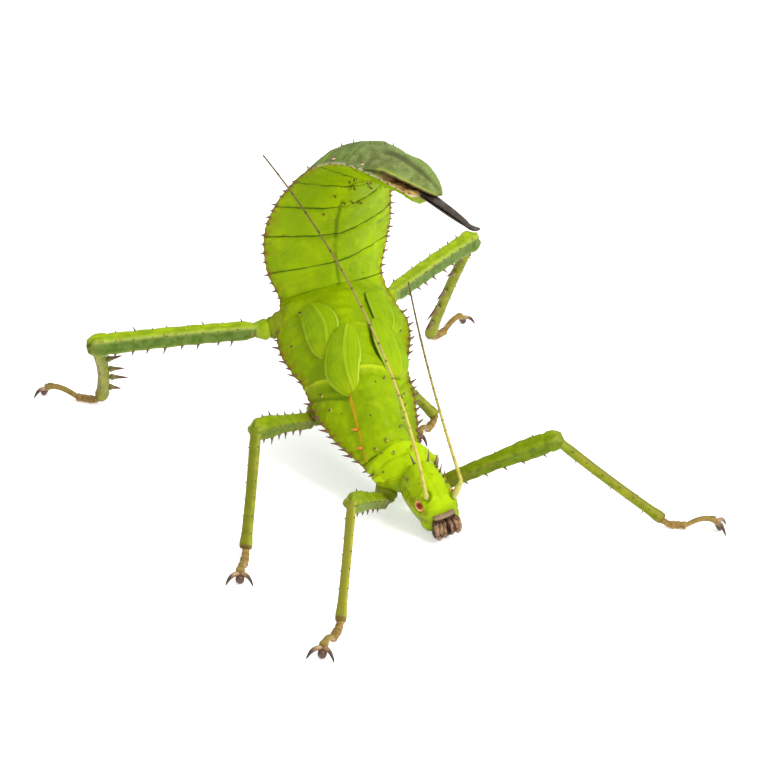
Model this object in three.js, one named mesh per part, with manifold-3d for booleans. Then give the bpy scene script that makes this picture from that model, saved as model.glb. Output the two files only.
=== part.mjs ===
// A stick insect, a nearly grown female of a broad, spiny, leaf-green kind, life size, in millimetres.
// It stands on its six feet with the mouth held just over the ground, the rear of the body raised and
// the end of the abdomen curled forward over the back.  +Z is up, the ground is Z = 0, the head is
// towards -Y and the animal's own right side is towards -X.
import * as THREE from "three";
import { mergeVertices } from "three/addons/utils/BufferGeometryUtils.js";
import Module from "manifold-3d";

const wasm = await Module();
wasm.setup();

const { cos, sin, abs, sqrt, min, max, PI } = Math;
const V = (x, y, z) => new THREE.Vector3(x, y, z);
const radians = THREE.MathUtils.degToRad;
const mix = THREE.MathUtils.lerp;
const UP = V(0, 0, 1);

// ---------------------------------------------------------------- driving dimensions
const GAP = 0.3; // clear space between two neighbouring pieces

// The whole animal is laid out from a working point on the ground, which lies this far from the
// middle of the finished model.
const MIDDLE_X = -4.1;
const MIDDLE_Y = 8.9;

// The waist, between thorax and abdomen, at mid height of the body's side margins.
const WAIST = V(-9.6, 27.6, 27.8);

// Thorax, from the waist forward.  at: distance from the waist; heading: degrees from straight ahead
// (-Y) towards the animal's left; pitch: degrees that the front end dips; roll: degrees that the
// right side dips.  half: half width to the side margin; top: height of the back above the margins;
// under: depth of the belly below them.
const THORAX = [
  { at: 0.0, heading: 20, pitch: 50, roll: 3, half: 10.2, top: 5.2, under: 5.0 },
  { at: 4.0, heading: 16, pitch: 37, roll: 5, half: 10.9, top: 6.8, under: 4.9 },
  { at: 9.0, heading: 13, pitch: 28, roll: 8, half: 12.1, top: 7.4, under: 4.8 },
  { at: 14.0, heading: 14, pitch: 27, roll: 8, half: 11.6, top: 7.4, under: 4.6 },
  { at: 20.0, heading: 16, pitch: 27, roll: 8, half: 9.7, top: 7.2, under: 4.4 },
  { at: 26.0, heading: 19, pitch: 27, roll: 8, half: 9.2, top: 7.0, under: 4.2 },
  { at: 32.0, heading: 22, pitch: 27, roll: 7, half: 8.1, top: 6.2, under: 3.9 },
  { at: 37.0, heading: 26, pitch: 22, roll: 6, half: 6.6, top: 4.9, under: 3.8 },
  { at: 40.0, heading: 29, pitch: 12, roll: 6, half: 5.8, top: 4.2, under: 3.8 },
  { at: 44.0, heading: 32, pitch: 0, roll: 6, half: 6.0, top: 4.3, under: 4.2 },
  { at: 47.0, heading: 30, pitch: 2, roll: 7, half: 4.9, top: 3.8, under: 3.9 },
  { at: 49.0, heading: 26, pitch: 14, roll: 7, half: 3.6, top: 3.0, under: 3.2 },
];
const META_FRONT = 20.4; // joint between metathorax and mesothorax
const MESO_FRONT = 40.2; // joint between mesothorax and prothorax
const NECK = 48.2;
// Middle of the head's rear, off the line of the body, and how far the soft neck lets it sink.
const NAPE = { lift: 1.5, aside: -0.9, sink: V(-0.4, -0.6, -1.3) };

// Abdomen, from the waist backward, one entry to a segment; the sizes are those at its rear end.
// curl bends the tail end up over the back and sway bends it to the animal's left, both in degrees
// over that segment.
const ABDOMEN = [
  { length: 6.5, curl: 24, sway: 3.6, half: 12.0, top: 5.4, under: 5.6 },
  { length: 6.3, curl: 14.7, sway: 8.4, half: 12.6, top: 4.9, under: 5.4 },
  { length: 5.8, curl: 11.4, sway: 1.8, half: 11.4, top: 4.0, under: 4.3 },
  { length: 5.8, curl: 17.4, sway: 0.6, half: 9.4, top: 3.4, under: 3.4 },
  { length: 5.5, curl: 22.8, sway: 4.7, half: 8.2, top: 2.9, under: 4.2 },
  { length: 5.5, curl: 20.7, sway: 7.9, half: 7.0, top: 2.8, under: 4.2 },
  { length: 6.0, curl: 13.9, sway: 5.7, half: 6.3, top: 2.4, under: 3.0 },
  { length: 7.2, curl: 7.5, sway: 2.4, half: 4.2, top: 1.8, under: 2.4 },
  { length: 12.8, curl: 2.8, sway: 5.6, half: 1.0, top: 0.6, under: 0.8 },
];
const WAIST_TURN = { curl: 13, sway: -7.2, twist: 6 }; // crease in front of the first segment
// The keeled belly plate that closes the underside of the tail end, from its front edge backward.
const BELLY_PLATE = [
  { at: 0.0, half: 7.2, under: 3.0 },
  { at: 5.0, half: 6.9, under: 2.8 },
  { at: 10.0, half: 5.2, under: 2.3 },
  { at: 14.0, half: 2.8, under: 1.7 },
  { at: 16.6, half: 0.8, under: 0.7 },
];
const FULL_SEGMENTS = 6; // segments that go right round; behind them back and belly plates part

// The head, from the neck forward; the sizes are those of its cross-section.
const HEAD_WAY = { heading: 26, pitch: 18, roll: 14 };
const HEAD = [
  { at: 0.0, half: 3.3, top: 3.0, under: 4.0 },
  { at: 1.4, half: 4.0, top: 4.3, under: 5.3 },
  { at: 4.5, half: 4.0, top: 4.4, under: 6.1 },
  { at: 7.5, half: 3.5, top: 3.8, under: 6.1 },
  { at: 9.6, half: 3.2, top: 3.0, under: 5.6 },
  { at: 10.4, half: 2.9, top: 2.3, under: 5.1 },
];
const EYE = { at: 7.4, across: 2.75, height: 0.5, radius: 1.25 };
// Upper lip and jaws in front of the head, and the four palps that hang before them: place across,
// height of root and of tip, and half thickness.
const JAWS = { length: 1.5, half: 2.5, top: 1.2, under: 4.4 };
const PALPS = [
  { across: 1.9, root: 0.2, tip: -4.5, spread: 1.7, thick: 0.55 },
  { across: 0.7, root: -0.3, tip: -4.2, spread: 0.9, thick: 0.5 },
];

// Antennae: root on the head (distance forward, across, height), the way of the first joint in the
// same directions, the tip in the model's frame, and how far the middle of the whip bows.
const ANTENNAE = {
  right: { root: [9.0, 2.1, 2.3], scape: [0.4, 0.3, 2.0], tip: V(-21.8, 20.5, 56.6), bow: V(4.2, 0, 0.6) },
  left: { root: [9.0, -2.6, 2.3], scape: [0.2, -1.8, 2.6], tip: V(4.6, 32.4, 27.8), bow: V(-0.8, 0, 0.8) },
};
const SCAPE = 0.7; // radius of the first joint of an antenna
const WHIP_ROOT = 0.4; // radius of an antenna's whip where it starts
const WHIP_TIP = 0.2;

// Wing pads, leaf-shaped flaps that grow backward over the thorax.  root and tip: distance from the
// waist and place across the back (0 the middle, 1 the right margin, -1 the left); half: half width.
// The two sides differ, since the thorax is twisted; bend is how far a pad's middle bows across.
const PADS = {
  tegmen_pad_right: { root: [28.4, 0.32], tip: [14.8, 0.02], bend: 0.07, half: 2.8, lift: 0.75 },
  tegmen_pad_left: { root: [25.2, -0.67], tip: [13.2, -0.43], bend: -0.07, half: 2.8, lift: 0.75 },
  hind_wing_pad_right: { root: [18.5, 0.46], tip: [5.8, 0.46], bend: -0.12, half: 3.0, lift: 0 },
  hind_wing_pad_left: { root: [15.4, -0.62], tip: [4.0, -0.52], bend: -0.07, half: 2.7, lift: 0 },
};
const PAD_THICK = 0.6;

// Legs: lengths of thigh (femur), shin (tibia) and foot (tarsus), half thickness of thigh and shin and
// radius of the hip joint (coxa).  hip: where the thigh leaves the coxa; at: distance of the coxa's
// root from the waist.  Ways are degrees from +X towards +Y; a thigh's second angle is its climb.
const ANKLE_HEIGHT = 1.9;
const PADS_END = 0.44; // share of the foot's length that its four short padded joints take
const FOOT_ARCH = 1.5; // rise of the foot's long last joint
const ARCH_SHARE = 0.72; // of a half wave, so that the joint stays raised at its end
const CLAW = { reach: 1.9, spread: 2.0, lift: 1.7, root: 0.5, tip: 0.12 };
const HIND = { femur: 32.1, tibia: 30.0, foot: 12.0, thigh: 1.7, shin: 1.25, coxa: 2.5 };
const MIDDLE = { femur: 22.8, tibia: 21.3, foot: 9.6, thigh: 1.5, shin: 1.1, coxa: 2.2 };
const FORE = { femur: 24.0, tibia: 23.5, foot: 9.6, thigh: 1.42, shin: 0.95, coxa: 1.9 };
const LEGS = {
  right_hind: {
    ...HIND, hip: V(-21.4, 22.2, 22.3), at: 3.4, thighWay: [190.8, -1.6], shinWay: 94.6, footWay: 160,
  },
  left_hind: {
    ...HIND, hip: V(0.3, 30.3, 25.1), at: 3.4, thighWay: [57.9, 3.9], shinWay: 119.3, footWay: 56,
  },
  right_middle: {
    ...MIDDLE, hip: V(-13.2, 6, 10.8), at: 21.5, thighWay: [245.6, 17.5], shinWay: 264.4, footWay: 267,
  },
  left_middle: {
    ...MIDDLE, hip: V(5.6, 12.8, 11.8), at: 21.5, thighWay: [119.2, 12.5], shinWay: 348.8, footWay: 250,
  },
  right_fore: {
    ...FORE, hip: V(0.2, -12.6, 3.4), at: 43.5, thighWay: [255.2, 23.6], shinWay: 265.6, footWay: 254,
  },
  left_fore: {
    ...FORE, hip: V(9.3, -9.1, 4.8), at: 43.5, thighWay: [346.2, 27.8], shinWay: 353.3, footWay: 352.6,
  },
};

// ---------------------------------------------------------------- solids
/** The closed mesh as a manifold-3d solid. */
function solid(geometry) {
  const bare = geometry.index ? geometry.clone() : geometry;
  const positions = new THREE.BufferGeometry().setAttribute("position", bare.getAttribute("position"));
  if (bare.index) positions.setIndex(bare.index);
  const merged = mergeVertices(positions, 1e-4);
  const triVerts = new Uint32Array(merged.index.array);
  const mesh = new wasm.Mesh({ numProp: 3, vertProperties: merged.attributes.position.array, triVerts });
  const made = new wasm.Manifold(mesh);
  if (made.volume() > 0) return made;
  for (let i = 0; i < triVerts.length; i += 3) {
    [triVerts[i + 1], triVerts[i + 2]] = [triVerts[i + 2], triVerts[i + 1]];
  }
  return new wasm.Manifold(
    new wasm.Mesh({ numProp: 3, vertProperties: merged.attributes.position.array, triVerts }),
  );
}

const join = (solids) => solids.reduce((whole, piece) => whole.add(piece));

/** The largest of the bodies that a cut leaves. */
const largest = (cut) => cut.decompose().sort((a, b) => b.volume() - a.volume())[0];

function geometryOf(made) {
  const mesh = made.getMesh();
  const geometry = new THREE.BufferGeometry();
  geometry.setAttribute("position", new THREE.BufferAttribute(new Float32Array(mesh.vertProperties), 3));
  geometry.setIndex(new THREE.BufferAttribute(new Uint32Array(mesh.triVerts), 1));
  return geometry;
}

/** A closed rod, each point of which is put in place by its turn round the rod (radians), its place
 *  along it (0 to 1) and its reach from the middle (0 at the centre of an end face, 1 on the wall). */
function rod(sides, rings, place) {
  const cylinder = new THREE.CylinderGeometry(1, 1, 1, sides, rings);
  cylinder.deleteAttribute("normal");
  cylinder.deleteAttribute("uv");
  const body = mergeVertices(cylinder, 1e-5);
  const points = body.attributes.position;
  for (let i = 0; i < points.count; i += 1) {
    const reach = Math.hypot(points.getX(i), points.getZ(i));
    const turn = Math.atan2(points.getX(i), points.getZ(i));
    const spot = place(turn, points.getY(i) + 0.5, reach > 0.5 ? 1 : 0);
    points.setXYZ(i, spot.x, spot.y, spot.z);
  }
  return solid(body);
}

/** A thorn with its foot sunk a little into what it grows on. */
function thorn(foot, direction, length, radius, sides = 3) {
  const sunk = 0.5;
  const cone = new THREE.ConeGeometry(radius, length + sunk, sides);
  cone.translate(0, (length - sunk) / 2, 0);
  cone.applyQuaternion(new THREE.Quaternion().setFromUnitVectors(V(0, 1, 0), direction.clone().normalize()));
  cone.translate(foot.x, foot.y, foot.z);
  return solid(cone);
}

/** A smooth value through entries of a table, by distance along it. */
function along(table, at, key) {
  let i = 0;
  while (i < table.length - 2 && at > table[i + 1].at) i += 1;
  const nearest = [max(i - 1, 0), i, i + 1, min(i + 2, table.length - 1)];
  const [before, start, end, after] = nearest.map((n) => table[n]);
  const span = end.at - start.at;
  const slope = (p, q) => (q.at > p.at ? (q[key] - p[key]) / (q.at - p.at) : 0);
  const t = (at - start.at) / span;
  const [a, b] = [slope(before, end) * span, slope(start, after) * span];
  const [t2, t3] = [t * t, t * t * t];
  const [rise, leave, arrive] = [3 * t2 - 2 * t3, t3 - 2 * t2 + t, t3 - t2];
  return mix(start[key], end[key], rise) + leave * a + arrive * b;
}

// ---------------------------------------------------------------- the line of the body
/** The body's own directions: forward, right and up, for a heading, a pitch and a roll. */
function directions(heading, pitch, roll) {
  const [h, p, r] = [heading, pitch, roll].map(radians);
  const forward = V(sin(h) * cos(p), -cos(h) * cos(p), -sin(p));
  const level = V(-cos(h), -sin(h), 0);
  const upright = V(0, 0, 0).crossVectors(level, forward);
  const right = level.clone().multiplyScalar(cos(r)).addScaledVector(upright, -sin(r));
  const up = upright.multiplyScalar(cos(r)).addScaledVector(level, sin(r));
  return { forward, right, up };
}

/** A pose turned: curl lifts the tail, sway takes it to the animal's left, twist turns it about itself. */
function turned(pose, curl, sway, twist) {
  const next = { ...pose };
  const spin = (axis, degrees) => {
    const turn = new THREE.Quaternion().setFromAxisAngle(axis, radians(degrees));
    for (const key of ["forward", "right", "up"]) next[key] = next[key].clone().applyQuaternion(turn);
  };
  spin(next.right.clone().negate(), curl);
  spin(next.up.clone(), -sway);
  spin(next.forward.clone().negate(), twist);
  return next;
}

const STEP = 0.25; // the line of the body is worked out at this spacing

/** Poses along the body at every STEP: thorax forward of the waist, abdomen behind it. */
function bodyLine() {
  const front = [];
  let point = WAIST.clone();
  for (let at = 0; at <= NECK + 1; at += STEP) {
    const way = directions(...["heading", "pitch", "roll"].map((key) => along(THORAX, at, key)));
    front.push({ at, point: point.clone(), ...way });
    point = point.clone().addScaledVector(way.forward, STEP);
  }
  const rear = [];
  let pose = turned({ ...front[0] }, WAIST_TURN.curl, WAIST_TURN.sway, WAIST_TURN.twist);
  let at = 0;
  for (const segment of ABDOMEN) {
    const steps = Math.round(segment.length / STEP);
    for (let i = 0; i < steps; i += 1) {
      pose = turned(pose, segment.curl / steps, segment.sway / steps, 0);
      pose.point = pose.point.clone().addScaledVector(pose.forward, -segment.length / steps);
      at -= segment.length / steps;
      rear.push({ ...pose, at });
    }
  }
  return [...rear.reverse(), ...front];
}

const LINE = bodyLine();
const SEGMENT_ENDS = ABDOMEN.reduce((ends, { length }) => [...ends, ends.at(-1) - length], [0]);
const SIZES = [
  ...ABDOMEN.map((segment, i) => ({ ...segment, at: SEGMENT_ENDS[i + 1] })).reverse(),
  ...THORAX,
];

/** Place, directions and sizes of the body at a distance forward of the waist. */
function body(at) {
  let i = 0;
  while (i < LINE.length - 2 && LINE[i + 1].at < at) i += 1;
  const [a, b] = [LINE[i], LINE[i + 1]];
  const t = (at - a.at) / (b.at - a.at);
  const blend = (key) => a[key].clone().lerp(b[key], t);
  return {
    point: blend("point"),
    forward: blend("forward").normalize(),
    right: blend("right").normalize(),
    up: blend("up").normalize(),
    half: along(SIZES, at, "half"),
    top: along(SIZES, at, "top"),
    under: along(SIZES, at, "under"),
  };
}

const RIDGE = 1.55; // how rounded the back's ridge is: 1 is a plain roof, 2 a round vault
const BELLY = 2.2;

/** Height of the skin above the margins, u across the body from -1 (left) to 1 (right). */
const backHeight = (size, u) => size.top * (1 - abs(u) ** RIDGE);
const bellyHeight = (size, u) => -size.under * (1 - abs(u) ** BELLY) ** 0.8;

const spotIn = (pose, across, height) =>
  pose.point.clone().addScaledVector(pose.right, across).addScaledVector(pose.up, height);

/** A spot on the back, and the direction that stands out of it. */
function onBack(at, u) {
  const pose = body(at);
  const foot = spotIn(pose, pose.half * u, backHeight(pose, u));
  const beside = spotIn(pose, pose.half * (u + 0.01), backHeight(pose, u + 0.01));
  const across = beside.sub(foot).normalize();
  return { foot, out: V(0, 0, 0).crossVectors(pose.forward, across).negate().normalize(), pose };
}

/** A length of the body between two distances from the waist. */
function trunk(from, to, rings, sides = 16, shape = (pose) => pose) {
  return rod(sides, rings, (turn, t, reach) => {
    const pose = shape(body(mix(from, to, t)), t);
    const u = cos(turn) * reach;
    const lift = pose.lift ?? 0;
    const height = sin(turn) * reach > 1e-6 ? backHeight(pose, u) : bellyHeight(pose, u);
    const middle = (pose.top - pose.under) / 2;
    const onMargin = abs(sin(turn)) < 1e-6;
    return spotIn(pose, pose.half * u, lift + (reach ? (onMargin ? 0 : height) : middle));
  });
}

/** Thorns along a side margin, side 1 for right and -1 for left. */
function marginThorns(side, from, to, count, length, lean = 0.25) {
  return Array.from({ length: count }, (_, i) => {
    const pose = body(mix(from, to, (i + 0.5) / count));
    const foot = spotIn(pose, side * (pose.half - 0.25), 0);
    const out = pose.right.clone().multiplyScalar(side).addScaledVector(pose.forward, -lean);
    return thorn(foot, out, length * (i % 2 ? 0.8 : 1), 0.5);
  });
}

/** Thorns that stand on the back, each given by its distance from the waist and its u. */
const backThorns = (places, length, radius = 0.35) =>
  places.map(([at, u]) => {
    const { foot, out } = onBack(at, u);
    return thorn(foot, out, length, radius);
  });

// ---------------------------------------------------------------- limbs
/** A tapering limb between two points.  spots are the places of its rings (0 to 1 along it); width
 *  and height give its half sizes at each; keel is how far its four edges stand out of its faces;
 *  arch bows it towards `up`. */
function limb(start, end, options) {
  const { spots, width, height, keel = 0, arch = 0, extra = 0, sides = 8, up = UP } = options;
  const axis = end.clone().sub(start);
  const length = axis.length();
  axis.normalize();
  const side = V(0, 0, 0).crossVectors(axis, up).normalize();
  const lift = V(0, 0, 0).crossVectors(side, axis);
  return rod(sides, spots.length - 1, (turn, ring, reach) => {
    const t = spots[Math.round(ring * (spots.length - 1))];
    const edge = 1 + keel * (abs(cos(2 * turn)) - 0.5);
    const run = mix(-extra, length + extra, t);
    return start
      .clone()
      .addScaledVector(axis, run)
      .addScaledVector(side, (width(t) + extra) * cos(turn) * edge * reach)
      .addScaledVector(lift, (height(t) + extra) * sin(turn) * edge * reach + arch * sin(PI * t));
  });
}

/** A value that is `ends` at both ends of a limb and 1 in its middle, rounded off over `share` of it. */
const roundedEnds = (t, ends, share) => {
  const near = max(0, min(t, 1 - t)) / share;
  return near >= 1 ? 1 : mix(ends, 1, sqrt(1 - (1 - near) ** 2));
};

/** A point from another, by length, heading and rise. */
const reachTo = (point, length, heading, rise) => {
  const [h, r] = [radians(heading), radians(rise)];
  return point.clone().add(V(cos(h) * cos(r), sin(h) * cos(r), sin(r)).multiplyScalar(length));
};

/** Knee, ankle and toe of a leg. */
function joints({ hip, femur, tibia, foot, thighWay, shinWay, footWay }) {
  const knee = reachTo(hip, femur, ...thighWay);
  const dip = THREE.MathUtils.radToDeg(Math.asin((knee.z - ANKLE_HEIGHT) / tibia));
  const ankle = reachTo(knee, tibia, shinWay, -dip);
  const toe = reachTo(ankle, foot, footWay, 0);
  return { hip, knee, ankle, toe };
}

// ---------------------------------------------------------------- materials
const shades = {
  skin: new THREE.MeshStandardMaterial({ color: "#8fb80c", roughness: 0.42, metalness: 0 }),
  plate: new THREE.MeshStandardMaterial({ color: "#6f9c62", roughness: 0.45, metalness: 0 }),
  limb: new THREE.MeshStandardMaterial({ color: "#8aa330", roughness: 0.45, metalness: 0 }),
  horn: new THREE.MeshStandardMaterial({ color: "#4b3c38", roughness: 0.4, metalness: 0 }),
  mouth: new THREE.MeshStandardMaterial({ color: "#96735a", roughness: 0.5, metalness: 0 }),
  eye: new THREE.MeshStandardMaterial({ color: "#c8622c", roughness: 0.2, metalness: 0 }),
  whip: new THREE.MeshStandardMaterial({ color: "#c9b46c", roughness: 0.5, metalness: 0 }),
};

const animal = new THREE.Group();
animal.position.set(-MIDDLE_X, -MIDDLE_Y, 0);
const model = new THREE.Group();
model.add(animal);

function add(name, made, shade) {
  const mesh = new THREE.Mesh(geometryOf(made), shades[shade]);
  mesh.name = name;
  animal.add(mesh);
}

// ---------------------------------------------------------------- trunk
const wider = (pose) => ({ ...pose, half: pose.half + GAP, top: pose.top + GAP, under: pose.under + GAP });
const SIDES = { right: 1, left: -1 };
const bothSides = (make) => Object.values(SIDES).flatMap(make);

function addThorax() {
  const meta = [
    trunk(GAP / 2, META_FRONT - GAP / 2, 6),
    ...bothSides((side) => marginThorns(side, 6.5, META_FRONT - 1, 5, 1.3)),
    ...backThorns([[2.6, 0.62], [2.6, -0.62], [11.5, 0.88], [11.5, -0.88]], 0.9),
  ];
  add("metathorax", join(meta), "skin");
  const meso = [
    trunk(META_FRONT + GAP / 2, MESO_FRONT - GAP / 2, 6),
    ...bothSides((side) => marginThorns(side, 25, MESO_FRONT - 1, 6, 1.5)),
    ...backThorns([[24.8, 0.08], [24.8, -0.08], [30, 0.35], [30, -0.35], [37.6, 0.3], [37.6, -0.3]], 0.9),
    ...backThorns([[27, 0.62], [31, 0.6], [35, 0.58], [27, -0.62], [31, -0.6], [35, -0.58]], 1.0),
  ];
  add("mesothorax", join(meso), "skin");
  const pro = [
    trunk(MESO_FRONT + GAP / 2, NECK - GAP / 2, 4),
    ...bothSides((side) => marginThorns(side, 41, NECK - 1, 3, 1.2, 0)),
  ];
  add("prothorax", largest(join(pro).subtract(skull(GAP))), "skin");
}

/** One full segment of the abdomen with the thorns of its side margins and back. */
function segment(i) {
  const [rear, front] = [SEGMENT_ENDS[i + 1] + GAP / 2, SEGMENT_ENDS[i] - GAP / 2];
  const saw = bothSides((side) => marginThorns(side, rear, front, 3, 1.1, -0.2));
  const pieces = [trunk(rear, front, 2), ...saw];
  if (i >= 2) pieces.push(...backThorns([[rear + 1.2, 0.22], [rear + 1.2, -0.22]], 1.2, 0.3));
  return join(pieces);
}

// Behind the full segments the back plates and the belly plate part, and the egg-laying beak lies
// between them.  Each is a slice of the same cross-section.
const TAIL_ROOT = SEGMENT_ENDS[FULL_SEGMENTS];
const BACK_PLATE_THICK = 0.3; // below the side margins
const BEAK_LIFT = { tip: -0.8, base: 0.3 };
const KEEL_PLATE_LIFT = -1.75;

function addAbdomen() {
  // The crease at the waist would drive the first segment into the thorax: trim it there.
  const back = directions(THORAX[0].heading, THORAX[0].pitch, THORAX[0].roll).forward.negate();
  const trimmed = segment(0).trimByPlane(back.toArray(), back.dot(WAIST) + GAP / 2);
  add("abdomen_2", largest(trimmed), "skin");
  for (let i = 1; i < FULL_SEGMENTS; i += 1) add(`abdomen_${i + 2}`, segment(i), "skin");
  const backPlate = (pose) => ({ ...pose, under: BACK_PLATE_THICK });
  for (let i = FULL_SEGMENTS; i < FULL_SEGMENTS + 2; i += 1) {
    const [rear, front] = [SEGMENT_ENDS[i + 1] + GAP / 2, SEGMENT_ENDS[i] - GAP / 2];
    add(`abdomen_${i + 2}`, trunk(rear, front, 3, 12, backPlate), "skin");
  }
  const keelPlate = (pose, t) => {
    const at = mix(BELLY_PLATE.at(-1).at, 0, t);
    const [half, under] = ["half", "under"].map((key) => along(BELLY_PLATE, at, key));
    return { ...pose, lift: KEEL_PLATE_LIFT, half, top: 0.3, under };
  };
  const plateEnd = TAIL_ROOT - GAP / 2 - BELLY_PLATE.at(-1).at;
  add("belly_plate", trunk(plateEnd, TAIL_ROOT - GAP / 2, 7, 12, keelPlate), "plate");
  const beak = (pose, t) => ({
    ...pose,
    lift: mix(BEAK_LIFT.tip, BEAK_LIFT.base, t),
    half: mix(0.9, 3.0, t ** 1.4) + (t < 0.08 ? 0.3 : 0),
    top: t > 0.45 ? 0.4 : 0.75,
    under: t > 0.45 ? 0.4 : 0.75,
  });
  const roof = trunk(SEGMENT_ENDS.at(-2), TAIL_ROOT, 6, 12, (pose) => wider(backPlate(pose)));
  const floor = trunk(plateEnd, TAIL_ROOT, 7, 12, (pose, t) => wider(keelPlate(pose, t)));
  const whole = trunk(SEGMENT_ENDS.at(-1), TAIL_ROOT - 3, 7, 8, beak);
  add("egg_beak", largest(whole.subtract(roof).subtract(floor)), "horn");
}

// ---------------------------------------------------------------- head
const headWay = directions(HEAD_WAY.heading, HEAD_WAY.pitch, HEAD_WAY.roll);
const NAPE_POINT = spotIn(body(NECK), NAPE.aside, NAPE.lift)
  .addScaledVector(headWay.forward, GAP / 2)
  .add(NAPE.sink);
const HEAD_LENGTH = HEAD.at(-1).at;

/** A point of the head by its distance forward, its place across and its height. */
const inHead = (at, across, height) =>
  NAPE_POINT.clone()
    .addScaledVector(headWay.forward, at)
    .addScaledVector(headWay.right, across)
    .addScaledVector(headWay.up, height);

const headSize = (at) => ({
  half: along(HEAD, at, "half"),
  top: along(HEAD, at, "top"),
  under: along(HEAD, at, "under"),
});
const crownHeight = (size, u) => size.top * (1 - abs(u) ** 2.2) ** 0.6;

/** The head without its thorns, grown by a clearance on all sides. */
function skull(clear = 0) {
  return rod(12, 6, (turn, t, reach) => {
    const at = mix(HEAD_LENGTH, 0, t);
    const bare = headSize(at);
    const size = { half: bare.half + clear, top: bare.top + clear, under: bare.under + clear };
    const u = cos(turn) * reach;
    const height = sin(turn) > 0 ? crownHeight(size, u) : -size.under * (1 - abs(u) ** 2.2) ** 0.6;
    return inHead(mix(HEAD_LENGTH + clear, -clear, t), u * size.half, reach ? height : 0);
  });
}

/** The thorns of the crown: a row along each side of the head, longest at the rear. */
function crownThorns() {
  const rows = [[0.5, 0.55, 2.6], [1.4, 0.8, 2.0], [2.6, 0.72, 1.9], [3.7, 0.75, 1.4], [4.7, 0.8, 1.1]];
  return bothSides((side) =>
    rows.map(([at, u, length]) => {
      const size = headSize(at);
      const out = headWay.up
        .clone()
        .multiplyScalar(0.8)
        .addScaledVector(headWay.right, side * u)
        .addScaledVector(headWay.forward, -0.5);
      return thorn(inHead(at, side * u * size.half, crownHeight(size, u)), out, length, 0.42);
    }),
  );
}

const ball = (centre, radius, around, up) => {
  const sphere = new THREE.SphereGeometry(radius, around, up);
  sphere.translate(centre.x, centre.y, centre.z);
  return solid(sphere);
};

/** A whip of an antenna: its path from root to tip, bowed in the middle. */
function antenna(side) {
  const { root, scape: joint, tip, bow } = ANTENNAE[side];
  const start = inHead(...root);
  const scapeEnd = inHead(...root.map((value, i) => value + joint[i]));
  const bend = scapeEnd.clone().lerp(tip, 0.5).addScaledVector(bow, 2);
  const path = new THREE.QuadraticBezierCurve3(scapeEnd, bend, tip);
  const whip = rod(5, 15, (turn, t, reach) => {
    const point = path.getPoint(t);
    const way = path.getTangent(t);
    const aside = V(0, 0, 0).crossVectors(way, UP).normalize();
    const lift = V(0, 0, 0).crossVectors(aside, way);
    const radius = mix(WHIP_ROOT, WHIP_TIP, sqrt(t)) * reach;
    return point.addScaledVector(aside, radius * cos(turn)).addScaledVector(lift, radius * sin(turn));
  });
  const bulb = (t) => SCAPE * (0.7 + 0.3 * sin(PI * min(1, t * 1.2)));
  const scape = limb(start.clone().addScaledVector(headWay.up, -1.2), scapeEnd, {
    spots: [0, 0.35, 0.75, 1],
    width: bulb,
    height: bulb,
    extra: 0.15,
    sides: 6,
  });
  return join([scape, whip]);
}

/** Upper lip, jaws and palps, as one piece. */
function mouth() {
  const front = HEAD_LENGTH + GAP;
  const core = rod(8, 3, (turn, t, reach) => {
    const near = mix(1, 0.7, t ** 2);
    const across = cos(turn) * JAWS.half * near * reach;
    const height = sin(turn) * (sin(turn) > 0 ? JAWS.top : JAWS.under) * near * reach;
    return inHead(front + t * JAWS.length, across, height);
  });
  const palps = bothSides((side) =>
    PALPS.map(({ across, root, tip, spread, thick }) =>
      limb(
        inHead(front + JAWS.length * 0.8, side * across, root),
        inHead(front + JAWS.length * 0.7, side * spread, tip),
        {
          spots: [0, 0.5, 0.88, 1],
          width: (t) => thick * roundedEnds(t, 0.6, 0.1),
          height: (t) => thick * roundedEnds(t, 0.6, 0.1),
          arch: 0.7,
          sides: 4,
          up: headWay.forward,
        },
      ),
    ),
  );
  return join([core, ...palps]);
}

// ---------------------------------------------------------------- wing pads
/** A leaf-shaped pad that lies over the back with a gap under it. */
function pad({ root, tip, bend, half, lift }) {
  const squared = (value) => Math.sign(value) * sqrt(abs(value));
  return rod(10, 6, (turn, t, reach) => {
    const at = mix(root[0], tip[0], t);
    const middle = mix(root[1], tip[1], t) + bend * sin(PI * t);
    const wide = half * sin(PI * (0.06 + 0.88 * t ** 0.85)) ** 0.7;
    const u = middle + (squared(cos(turn)) * wide * reach) / body(at).half;
    const { foot, out } = onBack(at, u);
    const thick = (PAD_THICK * (1 + squared(sin(turn)) * reach)) / 2;
    return foot.addScaledVector(out, GAP + 0.1 + thick + lift * min(1, t * 2.5));
  });
}

// ---------------------------------------------------------------- legs
// The upper keels of the thighs lean towards the tail, and each pair of thighs is turned differently.
const THIGH_UPS = { right: V(0, 0.6, 0.8), left: V(-0.45, 0.4, 0.8) };
const THIGH_THORNS = { hind: 6, middle: 4, fore: 4 };

/** Thorns along a limb on one of its sides. */
function limbThorns(start, end, way, radiusAt, row) {
  const { count, from = 0.1, to = 0.9, length, thick = 0.4, lean = 0.25 } = row;
  const axis = end.clone().sub(start).normalize();
  return Array.from({ length: count }, (_, i) => {
    const t = mix(from, to, (i + 0.5) / count);
    const foot = start.clone().lerp(end, t).addScaledVector(way, radiusAt(t) - 0.15);
    return thorn(foot, way.clone().addScaledVector(axis, lean), length * (i % 2 ? 0.75 : 1), thick);
  });
}

const TRUNK_AROUND = trunk(-4, 48, 16, 16, wider);

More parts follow.
